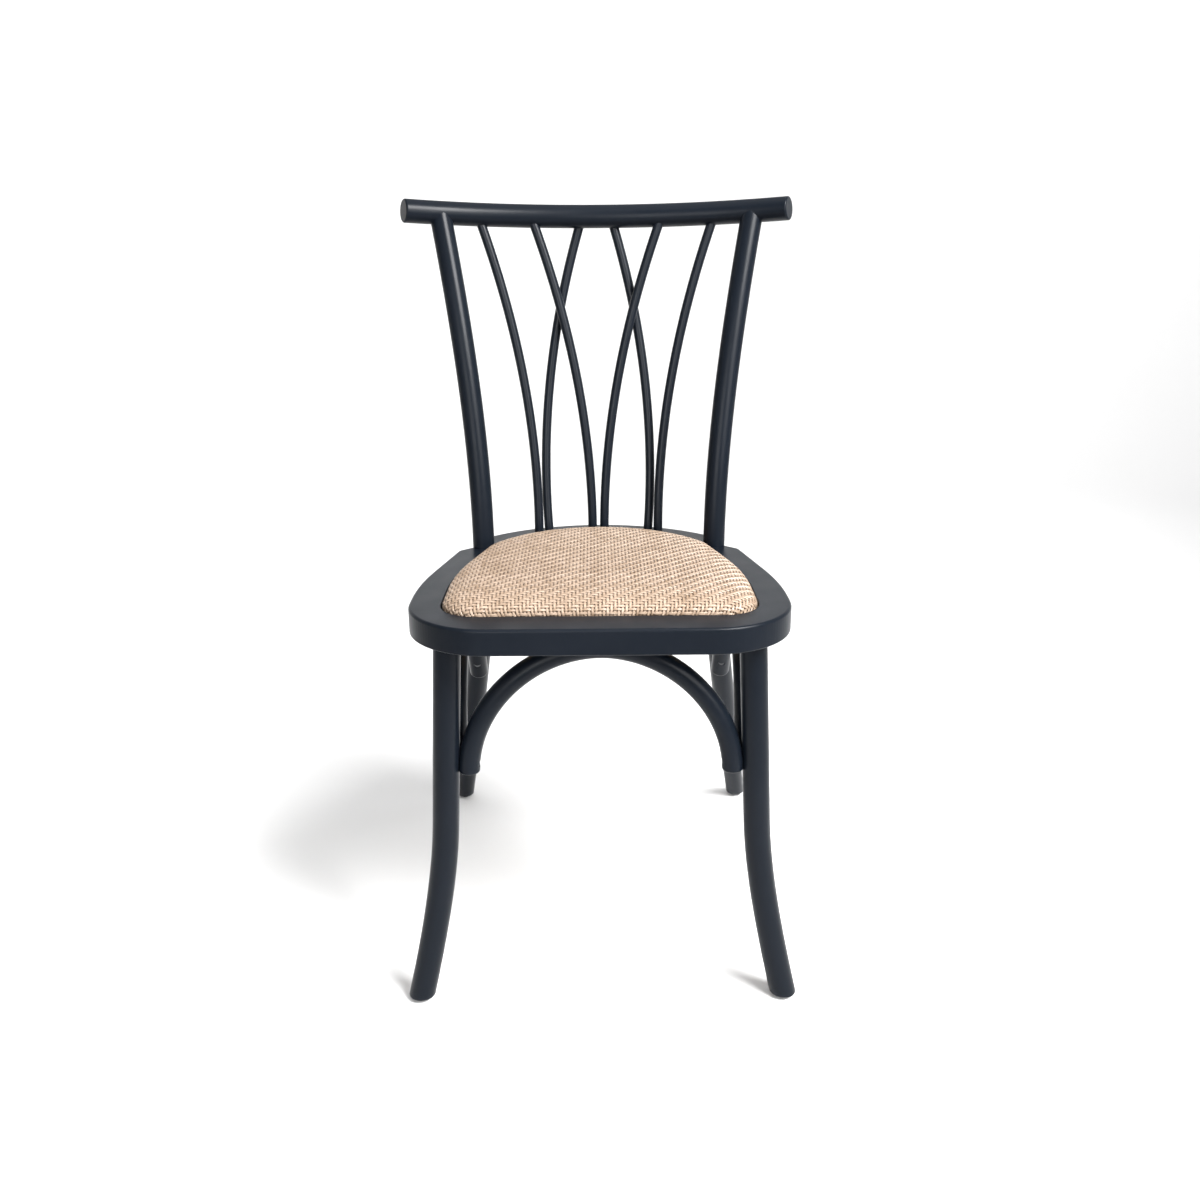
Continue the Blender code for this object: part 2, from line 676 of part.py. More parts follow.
def make_brace_end_screws(side, word, front_brace, side_brace, front_leg, rear_leg):
    """The screws that hold the ends of the braces to the legs of one side."""
    height = BRACE_END + FRONT_SCREW_RISE
    reach = math.sqrt(FRONT_BRACE_RADIUS**2 - FRONT_SCREW_RISE**2)
    place = end_screw(Vector((side * reach, FRONT_LEG_Y, height)), front_leg_axis(height, side))
    make_screw(f"screw_front_brace_{word}", place, [front_brace, front_leg])
    origin, back, corners = side_brace_frame(side)
    height = BRACE_END + SIDE_SCREW_RISE
    rise = UP * SIDE_SCREW_RISE
    place = end_screw(origin + back * corners[0].x + rise, front_leg_axis(height, side))
    make_screw(f"screw_side_brace_front_{word}", place, [side_brace, front_leg])
    along = corners[3] + (corners[2] - corners[3]) * SIDE_SCREW_RISE / (corners[2].y - corners[3].y)
    place = end_screw(origin + back * along.x + rise, rear_leg_axis(height, side))
    make_screw(f"screw_side_brace_rear_{word}", place, [side_brace, rear_leg])


def brace_top_place(spot):
    """A screw from the top of a brace up into the ring, at a spot seen from above."""
    low = BRACE_TOP_AXIS - BRACE_RADIUS + SCREW_SINK
    return Vector((spot.x, spot.y, low)), UP, 2 * BRACE_RADIUS - SCREW_SINK + TOP_SCREW_GRIP


def side_brace_top(side):
    """The middle of the straight top of a side brace."""
    origin, back, corners = side_brace_frame(side)
    before = (corners[2] - corners[1]).normalized()
    after = (corners[3] - corners[2]).normalized()
    bend = SIDE_BRACE_RADIUS * math.tan(before.angle(after) / 2)
    return origin + back * (corners[1].x + SIDE_BRACE_RADIUS + corners[2].x - bend) / 2


def make_board_screws(side, word, pieces):
    """The screws through the ring's lip into the board, on one side."""
    bow_radius = pad_bow_radius()
    rear = SEAT_DEPTH - REAR_STRIP - bow_radius
    rear += math.sqrt((bow_radius - LIP / 2) ** 2 - BOARD_SCREW_REAR_X**2)
    front = FRONT_STRIP + LIP / 2
    length = LIP_TOP + BOARD_SCREW_GRIP - RING_BOTTOM
    for end, x, y in (("front", BOARD_SCREW_FRONT_X, front), ("rear", BOARD_SCREW_REAR_X, rear)):
        place = (Vector((side * x, y, RING_BOTTOM + GAP)), UP, length)
        make_screw(f"screw_board_{end}_{word}", place, pieces)


def pad_bow_radius():
    """The radius of the pad opening's rear bow."""
    corners = pad_corners()
    run = Vector(corners[-1][:2]) - Vector(corners[-2][:2])
    turn = math.pi - math.atan2(run.y, run.x)
    return corners[-1][0] / math.tan(turn / 2)


def make_bolt(side, word, leg, ring):
    """A domed bolt through a rear leg and the ring's lip, with a flanged nut inside the ring."""
    height = (RING_BOTTOM + LIP_TOP) / 2
    shank = BOLT_DIAMETER / 2
    head = BOLT_HEAD_DIAMETER / 2
    inward = Vector((-side * PAD_LEG_NORMAL.x, -PAD_LEG_NORMAL.y, 0))
    centre = rear_leg_axis(height, side)
    start = centre - inward * (REAR_LEG_RADIUS - BOLT_SEAT)
    offset = (rear_leg_axis(SEAT_HEIGHT, side) - centre).dot(inward)
    nut_start = offset + 2 * REAR_LEG_RADIUS - BOLT_SEAT + 2 * GAP + PAD_LEG_WALL + LIP - NUT_SEAT
    nut_end = nut_start + NUT_FLANGE + NUT_HEIGHT
    dome = [(-BOLT_HEAD_HEIGHT, head * 0.45), (-BOLT_HEAD_HEIGHT * 0.6, head * 0.85), (0, head)]
    body = [(0, shank), (nut_end + BOLT_PAST_NUT, shank)]
    loft(f"bolt_{word}", turned(start, inward, dome + body, 2 * SCREW_SIDES), ZINC)
    loft(f"nut_{word}", nut_rings(start + inward * nut_start, inward), ZINC, closed=True)
    shapes = {
        "hole": [(-HEAD_ROOM, shank + GAP), (nut_end, shank + GAP)],
        "head": [(-BOLT_HEAD_HEIGHT - 2 * HEAD_ROOM, head + HEAD_ROOM), (GAP, head + HEAD_ROOM)],
        "nut": [(nut_start - GAP, head + HEAD_ROOM), (nut_end, head + HEAD_ROOM)],
    }
    for shape, profile in shapes.items():
        cutter = loft(f"cutter_bolt_{shape}_{word}", turned(start, inward, profile, 2 * SCREW_SIDES))
        cut(ring, cutter)
        if shape != "nut":
            cut(leg, cutter)


def nut_rings(start, axis):
    """Rings of a flanged hexagon nut with its bore, as a row that closes on itself."""
    bore = BOLT_DIAMETER / 2 + GAP
    flange = NUT_FLANGE_DIAMETER / 2
    flats = NUT_WIDTH / 2
    rings = turned(start, axis, [(0, bore), (0, flange), (NUT_FLANGE, flange)], NUT_SIDES)
    for along in (NUT_FLANGE, NUT_FLANGE + NUT_HEIGHT):
        centre = start + axis * along
        ring = circle(centre, axis, flats, NUT_SIDES)
        corner = 1 / math.cos(math.pi / 6)
        rings.append([centre + (p - centre) * (corner if k % 2 else 1) for k, p in enumerate(ring)])
    return rings + turned(start, axis, [(NUT_FLANGE + NUT_HEIGHT, bore)], NUT_SIDES)


def make_glide(leg, centre, name):
    """A nail-on glide under one foot."""
    radius = GLIDE_DIAMETER / 2
    nail = NAIL_DIAMETER / 2
    profile = [
        (0, radius - GLIDE_EDGE),
        (GLIDE_EDGE, radius),
        (GLIDE_THICKNESS, radius),
        (GLIDE_THICKNESS, nail),
        (GLIDE_THICKNESS + NAIL_LENGTH - 2 * NAIL_DIAMETER, nail),
        (GLIDE_THICKNESS + NAIL_LENGTH, nail / 3),
    ]
    floor_point = Vector((centre.x, centre.y, 0))
    loft(name, turned(floor_point, UP, profile, LEG_SIDES), GLIDE_PLASTIC)
    hole = [(GLIDE_THICKNESS - GAP, nail + GAP), (GLIDE_THICKNESS + NAIL_LENGTH + GAP, nail + GAP)]
    cut(leg, loft(f"cutter_{name}", turned(floor_point, UP, hole, SCREW_SIDES)))


def centre_on_origin():
    """Moves everything so that the bounding box's middle is over the origin."""
    ys = []
    for thing in bpy.data.objects:
        if not thing.hide_render:
            ys += [vertex.co.y for vertex in thing.data.vertices]
    origin = bpy.data.objects.new("chair_origin", None)
    bpy.context.scene.collection.objects.link(origin)
    for thing in list(bpy.data.objects):
        if thing is not origin:
            thing.parent = origin
    origin.location.y = -(min(ys) + max(ys)) / 2


def build():
    """Makes every piece, then the cuts that fit them together."""
    for leftover in list(bpy.data.objects):
        bpy.data.objects.remove(leftover)
    ring = make_seat_ring()
    board = make_pad()
    rail, rail_clearance = make_rail()
    underside = make_underside()
    sides = ((-1, "left"), (1, "right"))
    legs = {}
    front_clearances = []
    rear_clearances = []
    for side, word in sides:
        rear_leg, post_socket, rear_clearance = make_rear_leg(side, word, rail_clearance)
        front_leg, front_clearance, leg_socket = make_front_leg(side, word)
        legs[word] = (front_leg, rear_leg)
        front_clearances.append(front_clearance)
        rear_clearances.append(rear_clearance)
        cut(rail, post_socket)
        cut(ring, rear_clearance)
        cut(ring, leg_socket)
        make_glide(rear_leg, rear_leg_axis(FOOT_TOP, side), f"glide_rear_{word}")
        make_glide(front_leg, front_leg_axis(FOOT_TOP, side), f"glide_front_{word}")
        for kind in SPINDLES:
            socket = make_spindle(kind, side, word)
            cut(rail, socket)
            cut(ring, socket)
        make_bolt(side, word, rear_leg, ring)
        make_board_screws(side, word, [ring, board])
    front_brace = make_front_brace(underside, front_clearances)
    middle = Vector((0, FRONT_LEG_Y, 0))
    make_screw("screw_front_brace_top", brace_top_place(middle), [front_brace, ring])
    for (side, word), front, rear in zip(sides, front_clearances, rear_clearances):
        side_brace = make_side_brace(side, word, underside, [front, rear])
        make_brace_end_screws(side, word, front_brace, side_brace, *legs[word])
        place = brace_top_place(side_brace_top(side))
        make_screw(f"screw_side_brace_top_{word}", place, [side_brace, ring])
    centre_on_origin()


build()
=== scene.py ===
"""The looks of a bentwood dining chair with a woven rattan seat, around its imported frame."""

import math

import bmesh
import bpy
from bpy.props import FloatProperty, FloatVectorProperty, IntProperty, PointerProperty
from bpy.types import Operator, Panel, PropertyGroup
from mathutils import Matrix, Vector


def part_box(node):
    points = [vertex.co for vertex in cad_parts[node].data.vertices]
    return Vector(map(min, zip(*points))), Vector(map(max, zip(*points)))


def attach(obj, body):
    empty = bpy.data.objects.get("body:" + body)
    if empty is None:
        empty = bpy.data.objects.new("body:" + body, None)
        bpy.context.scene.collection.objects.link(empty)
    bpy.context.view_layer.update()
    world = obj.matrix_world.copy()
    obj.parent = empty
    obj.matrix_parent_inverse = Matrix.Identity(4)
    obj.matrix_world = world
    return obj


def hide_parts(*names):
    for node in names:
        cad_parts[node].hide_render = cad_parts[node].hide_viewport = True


bl_info = {
    "name": "Bentwood Chair Looks",
    "version": (1, 0, 0),
    "blender": (4, 5, 0),
    "location": "View3D > Sidebar > Chair",
    "description": "Dresses a bentwood dining chair: lacquered rods, a bent seat ring and a woven cane pad",
    "category": "Object",
}

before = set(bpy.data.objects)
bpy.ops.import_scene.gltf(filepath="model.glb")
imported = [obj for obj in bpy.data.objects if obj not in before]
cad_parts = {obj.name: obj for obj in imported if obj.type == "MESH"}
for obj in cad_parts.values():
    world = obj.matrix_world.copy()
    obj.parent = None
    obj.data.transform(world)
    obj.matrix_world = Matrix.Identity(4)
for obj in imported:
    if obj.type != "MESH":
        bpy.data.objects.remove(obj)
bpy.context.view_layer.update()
RING_LOW, RING_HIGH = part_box("seat_ring")
FOOT_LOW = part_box("front_leg_left")[0].z
SIDES = ((-1, "left"), (1, "right"))
UP = Vector((0, 0, 1))
SEAT_DEPTH = RING_HIGH.y - RING_LOW.y
ROUND_STEPS = 5  # steps in a rod's quarter-round
SAME_PLACE = 1e-7  # points nearer to each other than this are merged
FLAT_SCALE, FLAT_MIDDLE = 2.0, 0.5  # from metres on the cane spread flat to its map
SENSOR = 36.0  # the camera's square sensor, in millimetres
WORLD_STRENGTH = 0.38

# Name, spot, aim, size in metres, power in watts, spread in degrees
LIGHTS = (
    ("overhead", (0.0, 0.3, 2.9), (0.0, 0.0, 0.4), 2.0, 12.0, 180),
    ("key", (1.25, -1.20, 2.20), (0.0, 0.0, 0.5), 1.2, 46.0, 85),
    ("front_right", (1.7, -1.9, 1.3), (0.0, 0.0, 0.6), 1.6, 17.0, 110),
    ("front_left", (-0.7, -2.6, 1.0), (0.0, 0.0, 0.7), 1.6, 15.0, 110),
    ("camera_wall", (0.0, -0.9, 3.0), (0.0, -3.7, 0.9), 1.6, 20.0, 180),
    ("backdrop_left", (-2.2, 0.9, 1.9), (0.6, 3.6, 0.9), 1.2, 28.0, 120),
    ("backdrop_right", (2.2, 0.9, 1.9), (-0.6, 3.6, 0.9), 1.2, 28.0, 120),
)

# Each spindle's distances from the chair's middle, and its shifts in depth at foot, belly and head
SPINDLES = {
    "outer": {"foot": 0.0763, "belly": 0.0745, "head": 0.1440, "shift": (-0.0025, -0.0020, 0.0)},
    "inner": {"foot": 0.0636, "belly": 0.0783, "head": 0.0176, "shift": (0.0030, 0.0090, 0.0042)},
    "cross": {"foot": 0.0076, "belly": 0.0082, "head": 0.0799, "shift": (-0.0010, -0.0080, -0.0042)},
}


def length(name, default, description):
    """A size in metres."""
    return FloatProperty(
        name=name, default=default, description=description,
        unit="LENGTH", subtype="DISTANCE", min=0.0, precision=4,
    )


def angle(name, degrees, description):
    """An angle, given in degrees."""
    return FloatProperty(name=name, default=math.radians(degrees), description=description, subtype="ANGLE")


def count(name, default, description):
    """A whole number of at least three."""
    return IntProperty(name=name, default=default, description=description, min=3)


def colour(name, default, description):
    """A linear colour."""
    return FloatVectorProperty(
        name=name, default=default, description=description, subtype="COLOR", size=3, min=0.0, max=1.0
    )


def share(name, default, description):
    """A number from nought to one."""
    return FloatProperty(
        name=name, default=default, description=description, subtype="FACTOR", min=0.0, max=1.0
    )


class ChairSeatSizes(PropertyGroup):
    """The seat ring and its pad opening, seen from above."""

    front_corner: length("Front Corner Radius", 0.090, "Round of the ring's front corners")
    taper_start: length("Side Taper Start", 0.152, "Distance from the front where the sides begin to draw in")
    taper_radius: length("Side Taper Radius", 0.45, "Round of the bend where the sides draw in")
    ear_out: length("Ear Out", 0.0295, "How far the ear corner lies outside the rear leg's axis")
    ear_forward: length("Ear Forward", 0.0155, "How far the ear corner lies in front of the rear leg's axis")
    ear_radius: length("Ear Radius", 0.012, "Round of the ear corner")
    neck_back: length("Neck Back", 0.0015, "How far behind the leg's axis the ring meets the leg")
    neck_radius: length("Neck Radius", 0.005, "Round of the inner corner beside the leg")
    leg_standout: length("Leg Stand-out", 0.003, "How far a rear leg stands out of the ring's side")
    shoulder_out: length("Shoulder Out", 0.0075, "How far the shoulder lies outside the rear leg's axis")
    shoulder_back: length("Shoulder Back", 0.0366, "How far the shoulder lies behind the rear leg's axis")
    shoulder_radius: length("Shoulder Radius", 0.006, "Round of the shoulder behind the leg")
    rear_bow: length("Rear Bow Start", 0.0879, "Where the rear edge's bow meets its straight tangent")
    top_arris: length("Top Arris", 0.003, "Round of the ring's upper outer edge")
    bottom_arris: length("Bottom Arris", 0.0015, "Round of the ring's lower outer edge")
    inner_arris: length("Inner Arris", 0.0012, "Round of the ring's edge beside the pad")
    front_strip: length("Front Strip", 0.043, "Width of the ring in front of the pad")
    side_strip: length("Side Strip", 0.035, "Width of the ring beside the pad")
    rear_strip: length("Rear Strip", 0.0445, "Width of the ring behind the pad")
    pad_corner: length("Pad Corner Radius", 0.040, "Round of the pad's front corners")
    pad_side_in: length("Pad Side In", 0.002, "How far the pad's sides draw in")
    pad_side_bend: length("Pad Side Bend", 0.175, "Distance from the front where the pad's sides bend")
    pad_side_radius: length("Pad Side Radius", 0.35, "Round of the bend in the pad's sides")
    pad_leg_wall: length("Pad Leg Wall", 0.0026, "Wood between the pad opening and a rear leg")
    pad_leg_angle: angle("Pad Leg Angle", 124, "Direction of the pad's edge where it passes a rear leg")
    pad_leg_forward: length("Pad Leg Forward", 0.019, "How far in front of a leg the pad's edge turns")
    pad_leg_radius: length("Pad Leg Radius", 0.040, "Round of the pad's edge in front of a rear leg")
    rebate: length("Rebate Depth", 0.012, "Depth of the pad's rebate in the ring")
    lip: length("Lip", 0.020, "Width of the lip under the pad")


class ChairBackSizes(PropertyGroup):
    """The rear legs with their posts, the crest rail and the spindles."""

    leg_diameter: length("Leg Diameter", 0.0265, "Diameter of a rear leg at the seat")
    leg_swell: length("Leg Swell", 0.0015, "Extra radius of a rear leg halfway to the floor")
    leg_x: length("Leg X", 0.1425, "Distance of a rear leg from the middle, at the seat")
    leg_y: length("Leg Y", 0.309, "Distance of a rear leg from the seat's front edge")
    post_out: length("Post Out", 0.0455, "How far a post spreads outwards up to the rail")
    post_back: length("Post Back", 0.081, "How far a post leans back up to the rail")
    post_bend: length("Post Bend", 0.40, "Length over which a post bends")
    foot_out: length("Foot Out", 0.065, "How far a rear leg spreads outwards down to the floor")
    foot_back: length("Foot Back", 0.241, "How far a rear leg runs back down to the floor")
    foot_bend: length("Foot Bend", 0.095, "Length over which a rear leg bends below the seat")
    rail_diameter: length("Rail Diameter", 0.028, "Diameter of the crest rail")
    rail_length: length("Rail Length", 0.459, "Length of the crest rail, straight from end to end")
    rail_height: length("Rail Height", 0.857, "Height of the rail's axis at the posts")
    rail_bow: length("Rail Bow", 0.054, "How far the rail bows back")
    rail_tilt: angle("Rail Tilt", 10.2, "Tilt of the plane that the rail bows in")
    rail_end: length("Rail End Round", 0.002, "Round of the rail's end edges")
    spindle_diameter: length("Spindle Diameter", 0.0115, "Diameter of a spindle")
    spindle_socket: length("Spindle Socket", 0.016, "How deep a spindle stands in the ring")


class ChairLegSizes(PropertyGroup):
    """The front legs and the arched braces."""

    diameter: length("Front Leg Diameter", 0.0295, "Diameter of a front leg")
    x: length("Front Leg X", 0.162, "Distance of a front leg from the middle, under the ring")
    y: length("Front Leg Y", 0.0544, "Distance of a front leg from the seat's front edge")
    lean: share("Front Leg Lean", 0.048, "How far a front leg leans outwards for each unit of drop")
    flare_height: length("Flare Height", 0.22, "Height where a front leg starts to flare")
    flare_out: length("Flare Out", 0.0257, "How far a foot flares outwards")
    flare_forward: length("Flare Forward", 0.0134, "How far a foot flares forwards")
    flare_bend: length("Flare Bend", 0.15, "Length over which a foot flares")
    foot_round: length("Foot Round", 0.0035, "Round of a foot's lower edge")
    brace_diameter: length("Brace Diameter", 0.0235, "Diameter of a brace")
    brace_roundness: FloatProperty(
        name="Brace Roundness", default=1.92, min=1.0, max=4.0,
        description="Two for a half circle, less for slimmer shoulders",
    )
    brace_bite: length("Brace Bite", 0.001, "How deep a brace is let into what it touches")
    brace_round: length("Brace Round", 0.003, "Round of a brace's end edges")
    side_inset: length("Side Brace Inset", 0.011, "How far inside the front leg a side brace lies")
    side_radius: length("Side Brace Radius", 0.118, "Bend of a side brace's corners")


class ChairPadSizes(PropertyGroup):
    """The crowned pad and the cane woven over it."""

    groove: length("Groove", 0.0026, "From the rebate's wall to the pad under the cane")
    edge_rise: length("Edge Rise", 0.0008, "Height of the pad's edge over the ring")
    crown: length("Crown", 0.0170, "Height of the pad's middle over its edge")
    crown_power: FloatProperty(
        name="Crown Power", default=6.0, min=2.0, max=12.0, description="Higher values hold the crown flatter"
    )
    pitch: length("Strand Pitch", 0.004, "Distance from one strand to the next")
    strand_width: length("Strand Width", 0.0029, "Width of a strand of cane")
    strand_thickness: length("Strand Thickness", 0.0011, "Thickness of a strand of cane")
    wave: length("Strand Wave", 0.00055, "How far a strand rises over and sinks under the others")
    tuck: length("Tuck", 0.0034, "How far the strands run down into the groove")
    strands: count("Strands", 96, "Strands laid each way before they are trimmed")
    seed: count("Seed", 7, "Seed of the small differences between strands")


class ChairHardwareSizes(PropertyGroup):
    """The screws, the bolts and the foot glides."""

    screw_shank: length("Screw Shank", 0.004, "Diameter of a screw's shank")
    screw_head: length("Screw Head", 0.0085, "Diameter of a screw's countersunk head")
    head_depth: length("Screw Head Depth", 0.0028, "Depth of a screw's head")
    sink: length("Screw Sink", 0.0012, "How deep a head lies below a brace's surface")
    room: length("Head Room", 0.0012, "Clearance past a head, and around a bolt's head")
    tip: length("Screw Tip", 0.003, "Length of a screw's point")
    grip: length("Screw Grip", 0.014, "How far a screw runs into a leg")
    front_rise: length("Front Screw Rise", 0.010, "Height of the front brace's screws over its end")
    side_rise: length("Side Screw Rise", 0.019, "Height of a side brace's screws over its end")
    ring_grip: length("Ring Screw Grip", 0.0125, "How far a brace's top screw runs into the ring")
    board_grip: length("Board Screw Grip", 0.0072, "How far a screw runs into the board")
    board_front: length("Front Board Screw", 0.080, "Distance of the front board screws from the middle")
    board_rear: length("Rear Board Screw", 0.040, "Distance of the rear board screws from the middle")
    bolt: length("Bolt", 0.006, "Diameter of a bolt")
    bolt_head: length("Bolt Head", 0.013, "Diameter of a bolt's domed head")
    bolt_dome: length("Bolt Dome", 0.003, "Height of a bolt's domed head")
    bolt_seat: length("Bolt Seat", 0.001, "How deep a bolt's head is let into the leg")
    nut: length("Nut", 0.0062, "Height of a nut with its flange")
    nut_seat: length("Nut Seat", 0.0005, "How deep a nut is let into the ring")
    bolt_end: length("Bolt End", 0.0015, "How far a bolt runs past its nut")
    glide: length("Glide", 0.018, "Diameter of a foot glide")
    glide_height: length("Glide Height", 0.003, "Thickness of a foot glide")
    nail: length("Nail", 0.003, "Diameter of a glide's nail")
    nail_length: length("Nail Length", 0.012, "Length of a glide's nail")
    fit: length("Fit", 0.0003, "Clearance between parts that fit together")


class ChairFinishes(PropertyGroup):
    """Colours of the finishes."""

    lacquer: colour("Lacquer", (0.0036, 0.0053, 0.0084), "Black satin lacquer")
    lacquer_worn: colour("Worn Lacquer", (0.0046, 0.0065, 0.0100), "Lacquer where it has dulled")
    cane: colour("Cane", (0.276, 0.208, 0.154), "Cane in the middle of its range")
    cane_pale: colour("Pale Cane", (0.326, 0.252, 0.196), "The palest strands")
    cane_dark: colour("Dark Cane", (0.222, 0.158, 0.108), "The darkest strands")
    # The backing's dark tone is painted shade: it stands for the shade in the gaps between the strands.
    cane_shadow: colour("Cane Backing", (0.17, 0.112, 0.070), "The backing that shows between the strands")
    plywood: colour("Plywood", (0.52, 0.37, 0.22), "The board under the pad")
    zinc: colour("Black Zinc", (0.115, 0.117, 0.122), "Black zinc plating on the screws and bolts")
    plastic: colour("Glide Plastic", (0.030, 0.030, 0.031), "The glides under the feet")


class ChairStage(PropertyGroup):
    """The camera and the floor."""

    camera_x: FloatProperty(name="Camera X", default=-0.0049, unit="LENGTH", description="Across the chair")
    camera_y: FloatProperty(
        name="Camera Y", default=-1.2029, unit="LENGTH", description="From the seat's front edge"
    )
    camera_z: length("Camera Height", 0.8929, "Height of the camera")
    pitch: angle("Camera Pitch", math.degrees(0.3199), "How far the camera looks down")
    yaw: angle("Camera Yaw", math.degrees(0.0039), "How far the camera looks to the right")
    roll: angle("Camera Roll", math.degrees(-0.0065), "How far the camera leans")
    lens: FloatProperty(name="Lens", default=38.0, description="Focal length in mm on a 36 mm sensor")
    floor: colour("Floor", (0.76, 0.76, 0.76), "The pale floor")


def seat():
    """The sizes of the seat ring."""
    return bpy.context.scene.chair_seat


def back():
    """The sizes of the rear legs, the rail and the spindles."""
    return bpy.context.scene.chair_back


def legs():
    """The sizes of the front legs and the braces."""
    return bpy.context.scene.chair_legs


def pad():
    """The sizes of the pad and its cane."""
    return bpy.context.scene.chair_pad


def hardware():
    """The sizes of the screws, the bolts and the glides."""
    return bpy.context.scene.chair_hardware


def finishes():
    """The colours of the finishes."""
    return bpy.context.scene.chair_finishes


def stage():
    """The camera's place and the floor's colour."""
    return bpy.context.scene.chair_stage


# Places on the chair, in the frame's own axes: y is counted from the seat's front edge until a piece is made


def in_frame(point):
    """A point measured from the seat's front edge, moved into the frame."""
    return Vector((point.x, point.y + RING_LOW.y, point.z))


def steps_between(low, high, steps):
    """Evenly spaced values, both ends included."""
    return [low + (high - low) * i / steps for i in range(steps + 1)]


def circle(sides):
    """The angles of a circle's corners."""
    return [2 * math.pi * i / sides for i in range(sides)]


def quarter_round(size, steps=ROUND_STEPS):
    """A quarter-round from a flat end to a side, as rows of (distance from the end, inset from the side)."""
    turns = steps_between(math.pi / 2, 0.0, steps)
    return [(size * (1 - math.sin(a)), size * (1 - math.cos(a))) for a in turns]


def bend_shift(distance, run, reach, bend):
    """The sideways shift of a rod that starts straight, bends and then runs off straight."""
    return reach * (math.hypot(distance, bend) - bend) / (math.hypot(run, bend) - bend)


def rear_leg_axis(z, side):
    """A point on the axis of a rear leg and its post."""
    s = back()
    if z >= RING_HIGH.z:
        distance, run, bend = z - RING_HIGH.z, s.rail_height - RING_HIGH.z, s.post_bend
        out, rearwards = s.post_out, s.post_back
    else:
        distance, run, bend = RING_HIGH.z - z, RING_HIGH.z, s.foot_bend
        out, rearwards = s.foot_out, s.foot_back
    x = s.leg_x + bend_shift(distance, run, out, bend)
    y = s.leg_y + bend_shift(distance, run, rearwards, bend)
    return Vector((side * x, y, z))


def rear_leg_radius(z):
    """A rear leg swells below the seat and tapers again towards the floor."""
    below = max(0.0, RING_LOW.z - z)
    return back().leg_diameter / 2 + back().leg_swell * math.sin(math.pi * below / RING_LOW.z)


def front_leg_axis(z, side):
    """A point on the axis of a front leg."""
    s = legs()
    drop = max(0.0, s.flare_height - z)
    x = s.x + s.lean * (RING_LOW.z - z) + bend_shift(drop, s.flare_height, s.flare_out, s.flare_bend)
    y = s.y - bend_shift(drop, s.flare_height, s.flare_forward, s.flare_bend)
    return Vector((side * x, y, z))


def rail_bow_radius():
    """The radius of the crest rail's bow."""
    s = back()
    return (s.rail_length**2 / 4 + s.rail_bow**2) / (2 * s.rail_bow)


def rail_axis(x):
    """A point on the crest rail's axis, an arc in a plane that tilts back with the posts."""
    s = back()
    bow = rail_bow_radius()
    sag = math.sqrt(bow**2 - x**2) - math.sqrt(bow**2 - (s.leg_x + s.post_out) ** 2)
    y = s.leg_y + s.post_back + sag * math.cos(s.rail_tilt)
    return Vector((x, y, s.rail_height - sag * math.sin(s.rail_tilt)))


def brace_top():
    """The height of a brace's axis at its top."""
    return RING_LOW.z + legs().brace_bite - legs().brace_diameter / 2


def brace_gauge():
    """From a front leg's axis to the axis of a brace that is let into it."""
    return (legs().diameter + legs().brace_diameter) / 2 - legs().brace_bite


def front_brace_radius():
    """The half width of the front arch's axis."""
    s = legs()
    return (s.x - brace_gauge() + s.lean * (RING_LOW.z - brace_top())) / (1 - s.lean)


def brace_end():
    """The height where every brace ends."""
    return brace_top() - front_brace_radius()


def rear_bow_radius(corners):
    """The radius of an outline's bowed rear edge, from its last two corners."""
    before, last = (Vector(corner[:2]) for corner in corners[-2:])
    turn = math.pi - math.atan2(last.y - before.y, last.x - before.x)
    return last.x / math.tan(turn / 2)


def spindle_foot_y(x):
    """The middle of the ring's rear strip at x."""
    bow = rear_bow_radius(seat_corners())
    return SEAT_DEPTH - bow + math.sqrt((bow - seat().rear_strip / 2) ** 2 - x**2)


def seat_corners():
    """The ring's outline as corners (x, y, radius), right half, front to rear."""
    s = seat()
    b = back()
    half = RING_HIGH.x
    leg_side = b.leg_x + b.leg_diameter / 2 - s.leg_standout
    return [
        (half, 0.0, s.front_corner),
        (half, s.taper_start, s.taper_radius),
        (b.leg_x + s.ear_out, b.leg_y - s.ear_forward, s.ear_radius),
        (leg_side, b.leg_y + s.neck_back, s.neck_radius),
        (b.leg_x + s.shoulder_out, b.leg_y + s.shoulder_back, s.shoulder_radius),
        (s.rear_bow, SEAT_DEPTH, None),
    ]


def pad_corners():
    """The pad opening's outline as corners, right half, front to rear."""
    s = seat()
    b = back()
    half = RING_HIGH.x - s.side_strip
    rear = SEAT_DEPTH - s.rear_strip
    reach = b.leg_diameter / 2 + s.pad_leg_wall
    normal = Vector((math.sin(s.pad_leg_angle), -math.cos(s.pad_leg_angle)))

    def beside_leg(y):
        """Where the edge that passes the leg at a set distance reaches y."""
        return b.leg_x - (reach + (y - b.leg_y) * normal.y) / normal.x

    near_leg = b.leg_y - s.pad_leg_forward
    return [
        (half, s.front_strip, s.pad_corner),
        (half - s.pad_side_in, s.pad_side_bend, s.pad_side_radius),
        (beside_leg(near_leg), near_leg, s.pad_leg_radius),
        (beside_leg(rear), rear, None),
    ]


def corner_arc(corner, before, after, radius, steps):
    """The points of an arc that rounds a corner between two directions."""
    turn = before.angle(after)
    start = corner - before * radius * math.tan(turn / 2)
    across = (after - before * math.cos(turn)).normalized()
    turns = steps_between(0, turn, steps)
    return [start + (before * math.sin(a) + across * (1 - math.cos(a))) * radius for a in turns]


